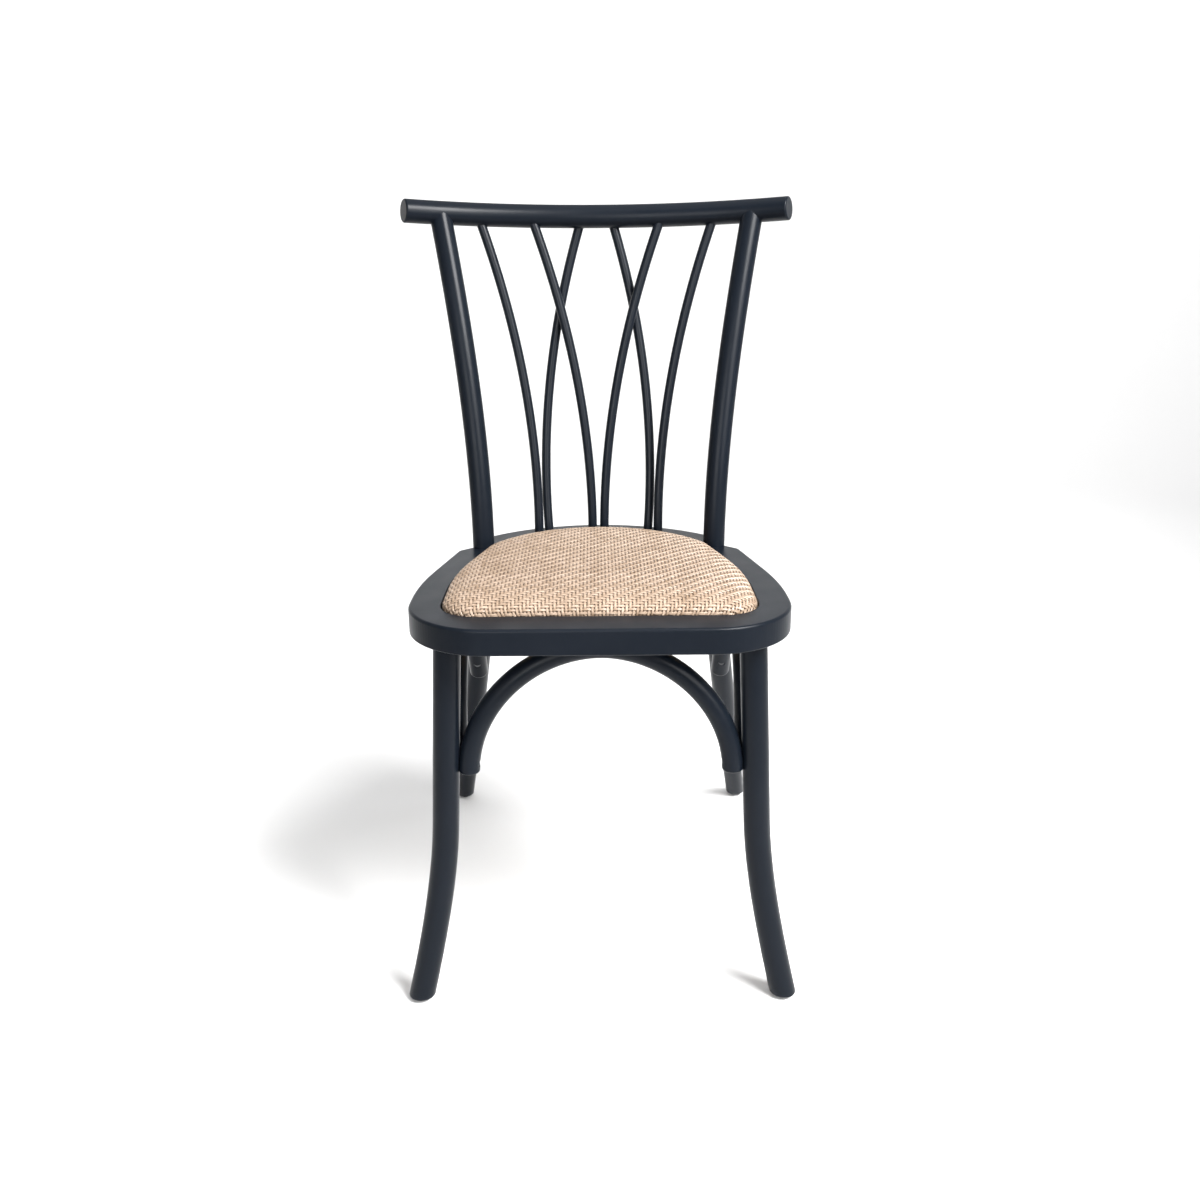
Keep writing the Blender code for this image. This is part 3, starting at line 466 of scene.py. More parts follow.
def outline(corners, inset=0.0):
    """The closed outline of a mirrored row of corners, moved inwards by inset, as (x, y) points."""
    arc_step, closest = math.radians(3), 1e-6
    around = corners + [(-x, y, radius) for x, y, radius in reversed(corners)]
    total = len(around)
    points = [Vector(corner[:2]) for corner in around]
    moved = []
    for i in range(total):
        before = (points[i] - points[i - 1]).normalized()
        after = (points[(i + 1) % total] - points[i]).normalized()
        inward = Vector((-before.y, before.x)) + Vector((-after.y, after.x))
        moved.append(points[i] + inward * inset / (1 + before.dot(after)))
    result = []
    for i, corner in enumerate(moved):
        before = (corner - moved[i - 1]).normalized()
        after = (moved[(i + 1) % total] - corner).normalized()
        turn = before.angle(after)
        radius = around[i][2]
        if radius is None:
            radius = abs(corner.x) / math.tan(turn / 2)
        else:
            left_turn = before.x * after.y - before.y * after.x > 0
            radius += -inset if left_turn else inset
        result += corner_arc(corner, before, after, radius, max(2, math.ceil(turn / arc_step)))
    return [point for i, point in enumerate(result) if (point - result[i - 1]).length > closest]


def pad_centre():
    """The middle of the pad opening, from which its outline is measured by angle."""
    return Vector((0, (seat().front_strip + SEAT_DEPTH - seat().rear_strip) / 2))


def angle_about(centre, point):
    """The angle at which a point lies about a centre."""
    return math.atan2(point.y - centre.y, point.x - centre.x)


def around_centre(points, angles):
    """A closed outline's points at the given angles about the pad's centre."""
    centre = pad_centre()
    spokes = sorted(((angle_about(centre, point), point) for point in points), key=lambda item: item[0])
    (first_angle, first), (last_angle, last) = spokes[0], spokes[-1]
    spokes = [(last_angle - 2 * math.pi, last), *spokes, (first_angle + 2 * math.pi, first)]
    result = []
    place = 0
    for a in angles:
        while place < len(spokes) - 2 and spokes[place + 1][0] < a:
            place += 1
        low, high = spokes[place][1] - centre, spokes[place + 1][1] - centre
        direction = Vector((math.cos(a), math.sin(a)))
        edge = high - low
        reach = (low.x * edge.y - low.y * edge.x) / (direction.x * edge.y - direction.y * edge.x)
        result.append(centre + direction * reach)
    return result


def shared_angles(*outlines):
    """The sorted angles of every corner of several outlines, with even steps of a degree between them."""
    digits, off_axis, closest = 5, 1e-4, 0.0015
    centre = pad_centre()
    found = {round(angle_about(centre, point), digits) for points in outlines for point in points}
    found |= {round(math.pi * (i / 180 - 1) + off_axis, digits) for i in range(360)}
    angles = sorted(found)
    return [a for i, a in enumerate(angles) if i == 0 or a - angles[i - 1] > closest]


# Nodes, for materials and geometry alike


def feed(tree, node, key, value):
    """Links a socket into an input, or sets its plain value."""
    socket = node.inputs[key]
    if isinstance(value, bpy.types.NodeSocket):
        tree.links.new(value, socket)
    else:
        socket.default_value = value


def add(tree, kind, settings=None, **inputs):
    """A node with its settings, and its inputs as links or plain values, by socket name."""
    node = tree.nodes.new(kind)
    for key, value in (settings or {}).items():
        setattr(node, key, value)
    for key, value in inputs.items():
        feed(tree, node, key.rstrip("_").replace("_", " "), value)
    return node


def operate(tree, kind, operation, values, **inputs):
    """A node that works out one operation on values given in order."""
    node = add(tree, kind, {"operation": operation}, **inputs)
    for place, value in enumerate(values):
        feed(tree, node, place, value)
    return node


def maths(tree, operation, *values):
    """One sum on numbers or sockets."""
    return operate(tree, "ShaderNodeMath", operation, values).outputs["Value"]


def vector_maths(tree, operation, *values, **inputs):
    """One sum on vectors or sockets."""
    return operate(tree, "ShaderNodeVectorMath", operation, values, **inputs).outputs["Vector"]


# Materials


def shader_tree(name, tone, roughness, metallic=0.0):
    """A new material with its node tree, its Principled shader and the place of each point on the piece."""
    material = bpy.data.materials.new(name)
    material.use_nodes = True
    tree = material.node_tree
    shader = tree.nodes["Principled BSDF"]
    feed(tree, shader, "Base Color", (*tone, 1))
    feed(tree, shader, "Roughness", roughness)
    feed(tree, shader, "Metallic", metallic)
    return material, tree, shader, add(tree, "ShaderNodeTexCoord").outputs["Object"]


def noise(tree, place, scale, detail, stretch=(1, 1, 1)):
    """A noise texture on stretched coordinates."""
    mapping = add(tree, "ShaderNodeMapping", Vector=place, Scale=stretch)
    texture = add(tree, "ShaderNodeTexNoise", Vector=mapping.outputs["Vector"], Scale=scale, Detail=detail)
    return texture.outputs["Fac"]


def ramp(tree, value, *stops):
    """A colour ramp with (position, colour) stops."""
    node = add(tree, "ShaderNodeValToRGB", Fac=value)
    while len(node.color_ramp.elements) < len(stops):
        node.color_ramp.elements.new(0.5)
    for element, (position, tone) in zip(node.color_ramp.elements, stops):
        element.position = position
        element.color = (*tone, 1)
    return node.outputs["Color"]


def span(tree, value, low, high, start=0.3, end=0.7):
    """A value that runs from start to end, spread from low to high."""
    limits = {"From_Min": start, "From_Max": end, "To_Min": low, "To_Max": high}
    return add(tree, "ShaderNodeMapRange", Value=value, **limits).outputs["Result"]


def bump(tree, shader, *heights):
    """Bump nodes in a row: each is (value, distance, strength)."""
    normal = None
    for value, distance, strength in heights:
        node = add(tree, "ShaderNodeBump", Height=value, Distance=distance, Strength=strength)
        if normal is not None:
            feed(tree, node, "Normal", normal)
        normal = node.outputs["Normal"]
    feed(tree, shader, "Normal", normal)


def own_value(tree, label):
    """A number that the piece's own mesh holds."""
    return add(tree, "ShaderNodeAttribute", {"attribute_name": label}).outputs["Fac"]


def along_axis(tree, place, axis):
    """How far a place lies along an axis."""
    return operate(tree, "ShaderNodeVectorMath", "DOT_PRODUCT", (place, axis)).outputs["Value"]


def multiplied(tree, base, tint, amount):
    """A colour, darkened towards itself times a tint by an amount."""
    node = add(tree, "ShaderNodeMix", {"data_type": "RGBA", "blend_type": "MULTIPLY"}, Factor=amount)
    inputs = {item.identifier: item for item in node.inputs}
    tree.links.new(base, inputs["A_Color"])
    inputs["B_Color"].default_value = (*tint, 1)
    return next(item for item in node.outputs if item.identifier == "Result_Color")


def times(tone, factor):
    """A colour made darker or paler by a factor."""
    return tuple(value * factor for value in tone)


def lacquer_material(name, sleek, dull, shine):
    """Black satin lacquer over wood: a faint open grain, a soft orange peel and duller patches."""
    tones = finishes()
    material, tree, shader, place = shader_tree(name, tones.lacquer, dull)
    patches = noise(tree, place, scale=9.0, detail=4.0)
    gloss = noise(tree, place, scale=26.0, detail=1.0)
    grain = noise(tree, place, scale=160.0, detail=3.0, stretch=(1, 1, 0.06))
    peel = noise(tree, place, scale=420.0, detail=2.0)
    worn = ramp(tree, patches, (0.35, tones.lacquer), (0.75, tones.lacquer_worn))
    feed(tree, shader, "Base Color", worn)
    feed(tree, shader, "Roughness", span(tree, gloss, sleek, dull))
    feed(tree, shader, "IOR", shine)
    bump(tree, shader, (grain, 0.00012, 0.25), (peel, 0.00006, 0.25))
    return material


def cane_material(name, stretch):
    """A strand of cane: its own tone, fibres along it, and painted shade where it dives under the others,
    weaker towards the front.
    """
    tones = finishes()
    streak_tint, shadow_tint = (0.74, 0.62, 0.48), (0.29, 0.20, 0.125)
    material, tree, shader, place = shader_tree(name, tones.cane, 0.5)
    own_shade = maths(tree, "MULTIPLY", own_value(tree, "strand_shade"), 0.30)
    clouds = noise(tree, place, scale=45.0, detail=4.0)
    shade = maths(tree, "MULTIPLY_ADD", clouds, 0.70, own_shade)
    tone = ramp(tree, shade, (0.28, tones.cane_dark), (0.50, tones.cane), (0.70, tones.cane_pale))
    fibres = noise(tree, place, scale=900.0, detail=3.0, stretch=stretch)
    streaked = multiplied(tree, tone, streak_tint, span(tree, fibres, low=0.05, high=0.40))
    # Painted shade: darker where the strand sinks under its neighbours, and less of it towards the front
    # edge.
    painted_dive_shade = span(tree, own_value(tree, "strand_lift"), low=0.95, high=0.0, start=0.35, end=0.98)
    forwards = along_axis(tree, place, (0, -1, 0))
    painted_shade_strength = span(tree, forwards, low=1.0, high=0.45, start=0.15, end=0.23)
    shadow = maths(tree, "MULTIPLY", painted_dive_shade, painted_shade_strength)
    feed(tree, shader, "Base Color", multiplied(tree, streaked, shadow_tint, shadow))
    feed(tree, shader, "Roughness", span(tree, fibres, low=0.38, high=0.55))
    bump(tree, shader, (fibres, 0.00008, 0.5))
    return material


def shaded_backing_material(name):
    """The cloth backing that shows between the strands; its dark tone is painted shade for the gaps."""
    tone = finishes().cane_shadow
    material, tree, shader, place = shader_tree(name, tone, 0.85)
    threads = noise(tree, place, scale=700.0, detail=3.0)
    feed(tree, shader, "Base Color", ramp(tree, threads, (0.35, times(tone, 0.6)), (0.65, tone)))
    bump(tree, shader, (threads, 0.0002, 0.6))
    return material


def plywood_material(name):
    """A sanded birch face with long grain across the board."""
    tone = finishes().plywood
    material, tree, shader, place = shader_tree(name, tone, 0.6)
    grain = noise(tree, place, scale=38.0, detail=6.0, stretch=(0.18, 1, 1))
    feed(tree, shader, "Base Color", ramp(tree, grain, (0.35, times(tone, 0.72)), (0.6, tone)))
    bump(tree, shader, (grain, 0.0002, 0.4))
    return material


def zinc_material(name):
    """Black zinc plating with faint spangle and handling marks."""
    tone = finishes().zinc
    material, tree, shader, place = shader_tree(name, tone, 0.35, metallic=1.0)
    spangle = noise(tree, place, scale=600.0, detail=2.0)
    marks = noise(tree, place, scale=150.0, detail=3.0)
    feed(tree, shader, "Base Color", ramp(tree, spangle, (0.35, times(tone, 0.75)), (0.65, tone)))
    feed(tree, shader, "Roughness", span(tree, marks, low=0.28, high=0.48))
    bump(tree, shader, (spangle, 0.00005, 0.3))
    return material


def plastic_material(name):
    """Moulded black plastic with a fine grain and scuffs from the floor."""
    tone = finishes().plastic
    material, tree, shader, place = shader_tree(name, tone, 0.5)
    scuffs = noise(tree, place, scale=240.0, detail=4.0)
    grain = noise(tree, place, scale=1500.0, detail=2.0)
    feed(tree, shader, "Base Color", ramp(tree, scuffs, (0.5, tone), (0.8, times(tone, 2.4))))
    feed(tree, shader, "Roughness", span(tree, scuffs, low=0.42, high=0.62))
    bump(tree, shader, (grain, 0.00005, 0.4))
    return material


def floor_material(name):
    """A matt pale floor, dimmer on a patch under the camera that would light the chair's front."""
    tone, cloud, patch_tint = stage().floor, 0.985, (0.42, 0.42, 0.42)
    material, tree, shader, place = shader_tree(name, tone, 0.8)
    clouds = noise(tree, place, scale=1.5, detail=2.0)
    pale = ramp(tree, clouds, (0.3, times(tone, cloud)), (0.7, tone))
    depth = along_axis(tree, place, (0, 1, 0))
    height = along_axis(tree, place, (0, 0, 1))
    before_chair = span(tree, depth, low=1.0, high=0.0, start=-1.3, end=-0.8)
    near_camera = span(tree, depth, low=0.0, high=1.0, start=-2.6, end=-1.8)
    on_floor = span(tree, height, low=1.0, high=0.0, start=0.0, end=0.1)
    patch = maths(tree, "MULTIPLY", maths(tree, "MULTIPLY", before_chair, near_camera), on_floor)
    feed(tree, shader, "Base Color", multiplied(tree, pale, patch_tint, patch))
    return material


def finish(name, maker, **values):
    """A finish by name, made once."""
    return bpy.data.materials.get(name) or maker(name, **values)


def lacquer():
    """The coat on the wood."""
    return finish("black_satin_lacquer", lacquer_material, sleek=0.28, dull=0.34, shine=1.21)


def slim_lacquer():
    """The coat on the slim spindles, which dries a little glossier."""
    return finish("slim_rod_lacquer", lacquer_material, sleek=0.28, dull=0.33, shine=1.27)


def zinc():
    """The plating on the screws, the bolts and the nuts."""
    return finish("zinc_plate", zinc_material)


# Geometry Nodes


def node_tree(name, **inputs):
    """A geometry tree with a geometry input, the named inputs of their kinds and a geometry output."""
    tree = bpy.data.node_groups.new(name, "GeometryNodeTree")
    for label, kind in {"Geometry": "Geometry", **inputs}.items():
        tree.interface.new_socket(label, in_out="INPUT", socket_type=f"NodeSocket{kind}")
    tree.interface.new_socket("Geometry", in_out="OUTPUT", socket_type="NodeSocketGeometry")
    source = tree.nodes.new("NodeGroupInput")
    target = tree.nodes.new("NodeGroupOutput")
    return tree, source, target


def named_number(tree, label):
    """A number stored on the geometry under a name."""
    node = add(tree, "GeometryNodeInputNamedAttribute", {"data_type": "FLOAT"}, Name=label)
    return node.outputs["Attribute"]


def position(tree):
    """The place of the present point."""
    return add(tree, "GeometryNodeInputPosition").outputs["Position"]


def height_of(tree, vector):
    """The upward part of a vector."""
    return add(tree, "ShaderNodeSeparateXYZ", Vector=vector).outputs["Z"]


def vector_of(tree, **parts):
    """A vector put together from its parts."""
    return add(tree, "ShaderNodeCombineXYZ", **parts).outputs["Vector"]


def captured(tree, geometry, kind, **values):
    """Keeps values of one kind as they are on the geometry at this step, by name."""
    node = tree.nodes.new("GeometryNodeCaptureAttribute")
    for label in values:
        node.capture_items.new(kind, label)
    for key, value in {"Geometry": geometry, **values}.items():
        feed(tree, node, key, value)
    return node


def end_tree(tree, target, geometry, material):
    """Realizes what is left as instances and sets the material."""
    solid = add(tree, "GeometryNodeRealizeInstances", Geometry=geometry)
    painted = add(tree, "GeometryNodeSetMaterial", Geometry=solid.outputs["Geometry"], Material=material)
    tree.links.new(painted.outputs["Geometry"], target.inputs["Geometry"])


def bent_rod_tree():
    """A rod along a line of points: each holds its thickness, and how far its section lies level."""
    tree, source, target = node_tree("Bent Rod", Sides="Int", Material="Material")
    line = add(tree, "GeometryNodeMeshToCurve", Mesh=source.outputs["Geometry"])
    here = position(tree)
    tangent = add(tree, "GeometryNodeInputTangent").outputs["Tangent"]
    kept = captured(tree, line.outputs["Curve"], "VECTOR", Centre=here, Tangent=tangent)
    section = add(tree, "GeometryNodeCurvePrimitiveCircle", Resolution=source.outputs["Sides"], Radius=1.0)
    tube = add(
        tree, "GeometryNodeCurveToMesh", Curve=kept.outputs["Geometry"],
        Profile_Curve=section.outputs["Curve"], Scale=named_number(tree, "thickness"), Fill_Caps=True,
    )
    centre, rise = (height_of(tree, kept.outputs[key]) for key in ("Centre", "Tangent"))
    slide = maths(tree, "DIVIDE", maths(tree, "SUBTRACT", centre, height_of(tree, here)), rise)
    slide = maths(tree, "MULTIPLY", slide, named_number(tree, "level"))
    move = vector_maths(tree, "SCALE", kept.outputs["Tangent"], Scale=slide)
    level = add(tree, "GeometryNodeSetPosition", Geometry=tube.outputs["Mesh"], Offset=move)
    end_tree(tree, target, level.outputs["Geometry"], source.outputs["Material"])
    return tree


def woven_cane_tree():
    """Strands of cane, two over and two under, laid flat and then carried onto a skin by its flat map."""
    tree, source, target = node_tree(
        "Woven Cane", Pitch="Float", Width="Float", Thickness="Float", Wave="Float", Strands="Int",
        Lengthwise="Bool", Tuck="Float", Seed="Int", Material="Material",
    )
    value = source.outputs
    steps_per_pitch, section_sides, steepness = 2.0, 5, 1.3
    least_slack, more_slack = 0.95, 0.08

    # One straight strand, laid side by side and numbered for its own shade
    half = maths(tree, "MULTIPLY", maths(tree, "MULTIPLY", value["Strands"], value["Pitch"]), 0.5)
    far_half = maths(tree, "MULTIPLY", half, -1.0)
    ends = {"Start": vector_of(tree, X=far_half), "End": vector_of(tree, X=half)}
    line = add(tree, "GeometryNodeCurvePrimitiveLine", **ends).outputs["Curve"]
    steps = maths(tree, "MULTIPLY_ADD", value["Strands"], steps_per_pitch, 1.0)
    strand = add(tree, "GeometryNodeResampleCurve", {"mode": "COUNT"}, Curve=line, Count=steps)
    row = add(
        tree, "GeometryNodeMeshLine", Count=maths(tree, "ADD", value["Strands"], 1.0),
        Start_Location=vector_of(tree, Y=far_half), Offset=vector_of(tree, Y=value["Pitch"]),
    )
    laid = add(
        tree, "GeometryNodeInstanceOnPoints", Points=row.outputs["Mesh"], Instance=strand.outputs["Curve"],
    )
    index = add(tree, "GeometryNodeInputIndex").outputs["Index"]
    chance = add(tree, "FunctionNodeRandomValue", {"data_type": "FLOAT"}, ID=index, Seed=value["Seed"])
    shaded = add(
        tree, "GeometryNodeStoreNamedAttribute", {"data_type": "FLOAT", "domain": "INSTANCE"},
        Geometry=laid.outputs["Instances"], Name="strand_shade", Value=chance.outputs["Value"],
    )
    lines = add(tree, "GeometryNodeRealizeInstances", Geometry=shaded.outputs["Geometry"])

    # The lengthwise set is turned, and what lies past the skin's edge is trimmed
    here = position(tree)
    flat = add(tree, "ShaderNodeSeparateXYZ", Vector=here).outputs
    turned = vector_of(tree, X=flat["Y"], Y=flat["X"])
    chosen = add(
        tree, "GeometryNodeSwitch", {"input_type": "VECTOR"},
        Switch=value["Lengthwise"], False_=here, True_=turned,
    )
    placed = add(
        tree, "GeometryNodeSetPosition", Geometry=lines.outputs["Geometry"],
        Position=chosen.outputs["Output"],
    )
    reach = on_skin(tree, source, "FLOAT", "edge_reach")
    past = maths(tree, "GREATER_THAN", reach.outputs["Value"], value["Tuck"])
    off = maths(tree, "SUBTRACT", 1.0, reach.outputs["Is Valid"])
    kept = add(
        tree, "GeometryNodeDeleteGeometry", {"domain": "POINT"}, Geometry=placed.outputs["Geometry"],
        Selection=maths(tree, "MAXIMUM", past, off),
    )

    # Over two and under two: a wave whose turns are steepened and cut flat, one set against the other
    across = maths(tree, "DIVIDE", maths(tree, "SUBTRACT", flat["X"], flat["Y"]), value["Pitch"])
    turns = maths(tree, "MULTIPLY", maths(tree, "ADD", across, 0.5), 0.25)
    swing = maths(tree, "SINE", maths(tree, "MULTIPLY", turns, 2 * math.pi))
    swing = maths(tree, "MINIMUM", maths(tree, "MULTIPLY", swing, steepness), 1.0)
    swing = maths(tree, "MAXIMUM", swing, -1.0)
    side = maths(tree, "MULTIPLY_ADD", value["Lengthwise"], -2.0, 1.0)
    rise = maths(tree, "MULTIPLY", maths(tree, "MULTIPLY", swing, value["Wave"]), side)
    lift = maths(tree, "MULTIPLY_ADD", maths(tree, "MULTIPLY", swing, side), 0.5, 0.5)
    waved = captured(tree, kept.outputs["Geometry"], "FLOAT", Rise=rise, Lift=lift)

    # Each line becomes a flat strand
    upright = add(tree, "GeometryNodeSetCurveNormal", {"mode": "Z_UP"}, Curve=waved.outputs["Geometry"])
    section = add(tree, "GeometryNodeCurvePrimitiveCircle", Resolution=section_sides, Radius=0.5)
    size = vector_of(tree, X=value["Thickness"], Y=value["Width"], Z=1.0)
    shaped = add(tree, "GeometryNodeTransform", Geometry=section.outputs["Curve"], Scale=size)
    quarter_turn = (0, 0, math.pi / 2)
    stood = add(
        tree, "GeometryNodeTransform", Geometry=shaped.outputs["Geometry"], Rotation=quarter_turn,
    )
    slack = maths(tree, "MULTIPLY_ADD", named_number(tree, "strand_shade"), more_slack, least_slack)
    body = add(
        tree, "GeometryNodeCurveToMesh", Curve=upright.outputs["Curve"],
        Profile_Curve=stood.outputs["Geometry"], Scale=slack, Fill_Caps=True,
    )

    # The flat strands are carried onto the skin, and each point remembers how far it stands proud
    place = on_skin(tree, source, "FLOAT_VECTOR", "skin_place").outputs["Value"]
    normal = on_skin(tree, source, "FLOAT_VECTOR", "skin_normal").outputs["Value"]
    height = maths(tree, "ADD", flat["Z"], waved.outputs["Rise"])
    spot = vector_maths(tree, "ADD", place, vector_maths(tree, "SCALE", normal, Scale=height))
    draped = add(tree, "GeometryNodeSetPosition", Geometry=body.outputs["Mesh"], Position=spot)
    lifted = add(
        tree, "GeometryNodeStoreNamedAttribute", {"data_type": "FLOAT", "domain": "POINT"},
        Geometry=draped.outputs["Geometry"], Name="strand_lift", Value=waved.outputs["Lift"],
    )
    end_tree(tree, target, lifted.outputs["Geometry"], value["Material"])
    return tree


def on_skin(tree, source, kind, label):
    """A value stored on the skin, sampled where the flat map puts the present point."""
    scale, middle = (FLAT_SCALE, FLAT_SCALE, 0), (FLAT_MIDDLE, FLAT_MIDDLE, 0)
    spread = vector_maths(tree, "MULTIPLY_ADD", position(tree), scale, middle)
    stored = add(tree, "GeometryNodeInputNamedAttribute", {"data_type": kind}, Name=label)
    flat = add(tree, "GeometryNodeInputNamedAttribute", {"data_type": "FLOAT_VECTOR"}, Name="flat_map")
    return add(
        tree, "GeometryNodeSampleUVSurface", {"data_type": kind}, Mesh=source.outputs["Geometry"],
        Value=stored.outputs["Attribute"], UV_Map=flat.outputs["Attribute"], Sample_UV=spread,
    )


# Meshes


def place_object(name, data):
    """A new object in the scene."""
    made = bpy.data.objects.new(name, data)
    bpy.context.scene.collection.objects.link(made)
    return made


def built_mesh(builder, name):
    """The mesh of a builder that is done with."""
    mesh = bpy.data.meshes.new(name)
    builder.to_mesh(mesh)
    builder.free()
    return mesh


def bridge(builder, rings):
    """Bands of faces from each ring of corners to the next."""
    for low, high in zip(rings, rings[1:]):
        for i in range(len(low)):
            j = (i + 1) % len(low)
            builder.faces.new((low[i], low[j], high[j], high[i]))


def store(mesh, label, kind, values):
    """Keeps numbers or vectors for the points of a mesh under a name."""
    field = "vector" if kind == "FLOAT_VECTOR" else "value"
    mesh.attributes.new(label, kind, "POINT").data.foreach_set(field, values)


def make_plain(made):
    """Turns an object's modifiers into its plain mesh."""
    solid = bpy.data.meshes.new_from_object(made.evaluated_get(bpy.context.evaluated_depsgraph_get()))
    made.modifiers.clear()
    made.data = solid


def line_object(name, points, radii, level):
    """A line of points with the thickness of the rod and its levelness at each."""
    mesh = bpy.data.meshes.new(name)
    mesh.from_pydata([in_frame(point) for point in points], [(i, i + 1) for i in range(len(points) - 1)], [])
    store(mesh, "thickness", "FLOAT", radii)
    store(mesh, "level", "FLOAT", level)
    return place_object(name, mesh)


def with_tree(made, tree, values):
    """Gives an object a tree with its input values, by name, and turns the result into its plain mesh."""
    modifier = made.modifiers.new(tree.name, "NODES")
    modifier.node_group = tree
    sockets = {item.name: item.identifier for item in tree.interface.items_tree if item.in_out == "INPUT"}
    for label, value in values.items():
        modifier[sockets[label]] = value
    make_plain(made)
    if not made.data.polygons:
        raise RuntimeError(f"{made.name} came out empty")


def join_chair(made, node, sharp=40):
    """Smooth shading, then the piece rides on the chair in place of its node."""
    made.data.shade_smooth()
    made.data.set_sharp_from_angle(angle=math.radians(sharp))
    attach(made, "root")
    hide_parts(node)


def settle(made, node, sharp=40):
    """Merged corners, outward faces and its last name, before a piece joins the chair."""
    builder = bmesh.new()
    builder.from_mesh(made.data)
    bmesh.ops.remove_doubles(builder, verts=builder.verts, dist=SAME_PLACE)
    bmesh.ops.recalc_face_normals(builder, faces=builder.faces)
    builder.to_mesh(made.data)
    builder.free()
    made.name = f"{node}_finished"
    join_chair(made, node, sharp)
    return made


def swept(node, points, radii, level, sides, material):
    """A rod along points, or a turned piece along its axis, with a narrow rim around its flat ends."""
    most_side_corners, rim = 8, 0.0004
    tree = bpy.data.node_groups.get("Bent Rod") or bent_rod_tree()
    made = line_object(node, points, radii, level or [0.0] * len(points))
    with_tree(made, tree, {"Sides": sides, "Material": material})
    for key in ("thickness", "level"):
        made.data.attributes.remove(made.data.attributes[key])
    builder = bmesh.new()
    builder.from_mesh(made.data)
    bmesh.ops.remove_doubles(builder, verts=builder.verts, dist=SAME_PLACE)
    caps = [face for face in builder.faces if len(face.verts) > most_side_corners]
    bmesh.ops.inset_individual(builder, faces=caps, thickness=min(rim, radii[0] / 4, radii[-1] / 4))
    builder.to_mesh(made.data)
    builder.free()
    return made


def turned(node, start, direction, profile, sides, material):
    """A piece turned about an axis from its (distance, radius) profile."""
    points = [start + direction * along for along, radius in profile]
    return swept(node, points, [radius for along, radius in profile], None, sides, material)


def drill(made, holes, sides=32, squash=((1.0, 1.0),)):
    """Takes turned holes out of a piece: each is a place, an axis and its (distance, radius) profile."""
    if not holes:
        return
    builder = bmesh.new()
    for place, axis, profile in holes:
        axis = axis.normalized()
        across = axis.orthogonal().normalized()
        other = axis.cross(across)
        for wide, deep in squash:
            ways = [across * math.cos(a) * wide + other * math.sin(a) * deep for a in circle(sides)]
            rings = [
                [builder.verts.new(in_frame(place) + axis * along + way * radius) for way in ways]
                for along, radius in profile
            ]
            bridge(builder, rings)
            builder.faces.new(rings[0])
            builder.faces.new(rings[-1])
    bmesh.ops.recalc_face_normals(builder, faces=builder.faces)
    mesh = built_mesh(builder, "holes")
    mesh.materials.append(made.data.materials[0])
    tool = place_object("holes", mesh)
    modifier = made.modifiers.new("holes", "BOOLEAN")
    modifier.operation = "DIFFERENCE"
    modifier.solver = "EXACT"
    modifier.use_self = len(squash) > 1
    modifier.object = tool
    make_plain(made)
    bpy.data.objects.remove(tool)


# Rods


def rod(node, points, radii, level=None, sides=44, holes=(), coat=None):
    """One lacquered rod as a finished mesh, in place of its node."""
    made = swept(node, points, radii, level, sides, coat or lacquer())
    drill(made, holes)
    return settle(made, node)


def along_line(points, distance):
    """The point at a distance along a line of points."""
    for low, high in zip(points, points[1:]):
        run = (high - low).length
        if distance <= run:
            return low.lerp(high, distance / run)
        distance -= run
    return points[-1]


def even_line(points, steps):
    """A line of points spread again at even distances."""
    total = sum((high - low).length for low, high in zip(points, points[1:]))
    return [along_line(points, distance) for distance in steps_between(0, total * (1 - 1e-9), steps)]


def rounded_start(points, radius, round_size):
    """The line and its radii with a quarter-round at its first end."""
    next_at, kept_from = round_size * 1.25, round_size * 1.5
    kept = []
    walked = 0.0
    for low, high in zip(points, points[1:]):
        walked += (high - low).length
        if walked > kept_from:
            kept.append(high)
    rows = quarter_round(round_size)
    line = [along_line(points, along) for along, inset in rows]
    line.append(along_line(points, next_at))
    return line + kept, [radius - inset for along, inset in rows] + [radius] * (len(kept) + 1)


def rounded_rod(points, radius, round_size):
    """The line and its radii with a quarter-round at both ends."""
    line, radii = rounded_start(points, radius, round_size)
    line, other_radii = rounded_start(line[::-1], radius, round_size)
    rim = ROUND_STEPS + 2
    return line, other_radii[:-rim] + radii[:rim][::-1]


def level_near(points, low, high):
    """How far each section lies level: wholly at a foot or a flat top, and fading away from it."""
    whole_at_foot, foot_fade, top_fade = 0.006, 0.030, 0.004
    level = []
    for point in points:
        at_foot = 1 - (point.z - low - whole_at_foot) / foot_fade
        at_top = 1 - (high - point.z) / top_fade if high is not None else 0.0
        amount = min(1.0, max(0.0, at_foot, at_top))
        level.append(amount * amount * (3 - 2 * amount))
    return level


def make_leg(node, side, axis, radius_at, heights, flat_top=None, holes=()):
    """A leg from the quarter-round of its foot up through some heights."""
    foot = quarter_round(legs().foot_round)
    line = [FOOT_LOW + up for up, inset in foot] + heights
    points = [axis(z, side) for z in line]
    radii = [radius_at(z) for z in line]
    for i, (up, inset) in enumerate(foot):
        radii[i] -= inset
    rod(node, points, radii, level_near(points, FOOT_LOW, flat_top), holes=holes)


def make_rear_leg(side, word):
    """A rear leg and its post, from the floor into the rail."""
    heights = steps_between(FOOT_LOW + legs().foot_round, RING_HIGH.z, steps=70)[1:]
    heights += steps_between(RING_HIGH.z, back().rail_height, steps=50)[1:]
    make_leg(f"rear_leg_{word}", side, rear_leg_axis, rear_leg_radius, heights, holes=[bolt_hole(side)])


def make_front_leg(side, word):
    """A leaning, flared front leg."""
    into_ring = 0.0002
    radius = legs().diameter / 2
    top = RING_LOW.z + into_ring
    heights = steps_between(FOOT_LOW + legs().foot_round, top, steps=90)[1:]
    make_leg(f"front_leg_{word}", side, front_leg_axis, lambda z: radius, heights, flat_top=top)


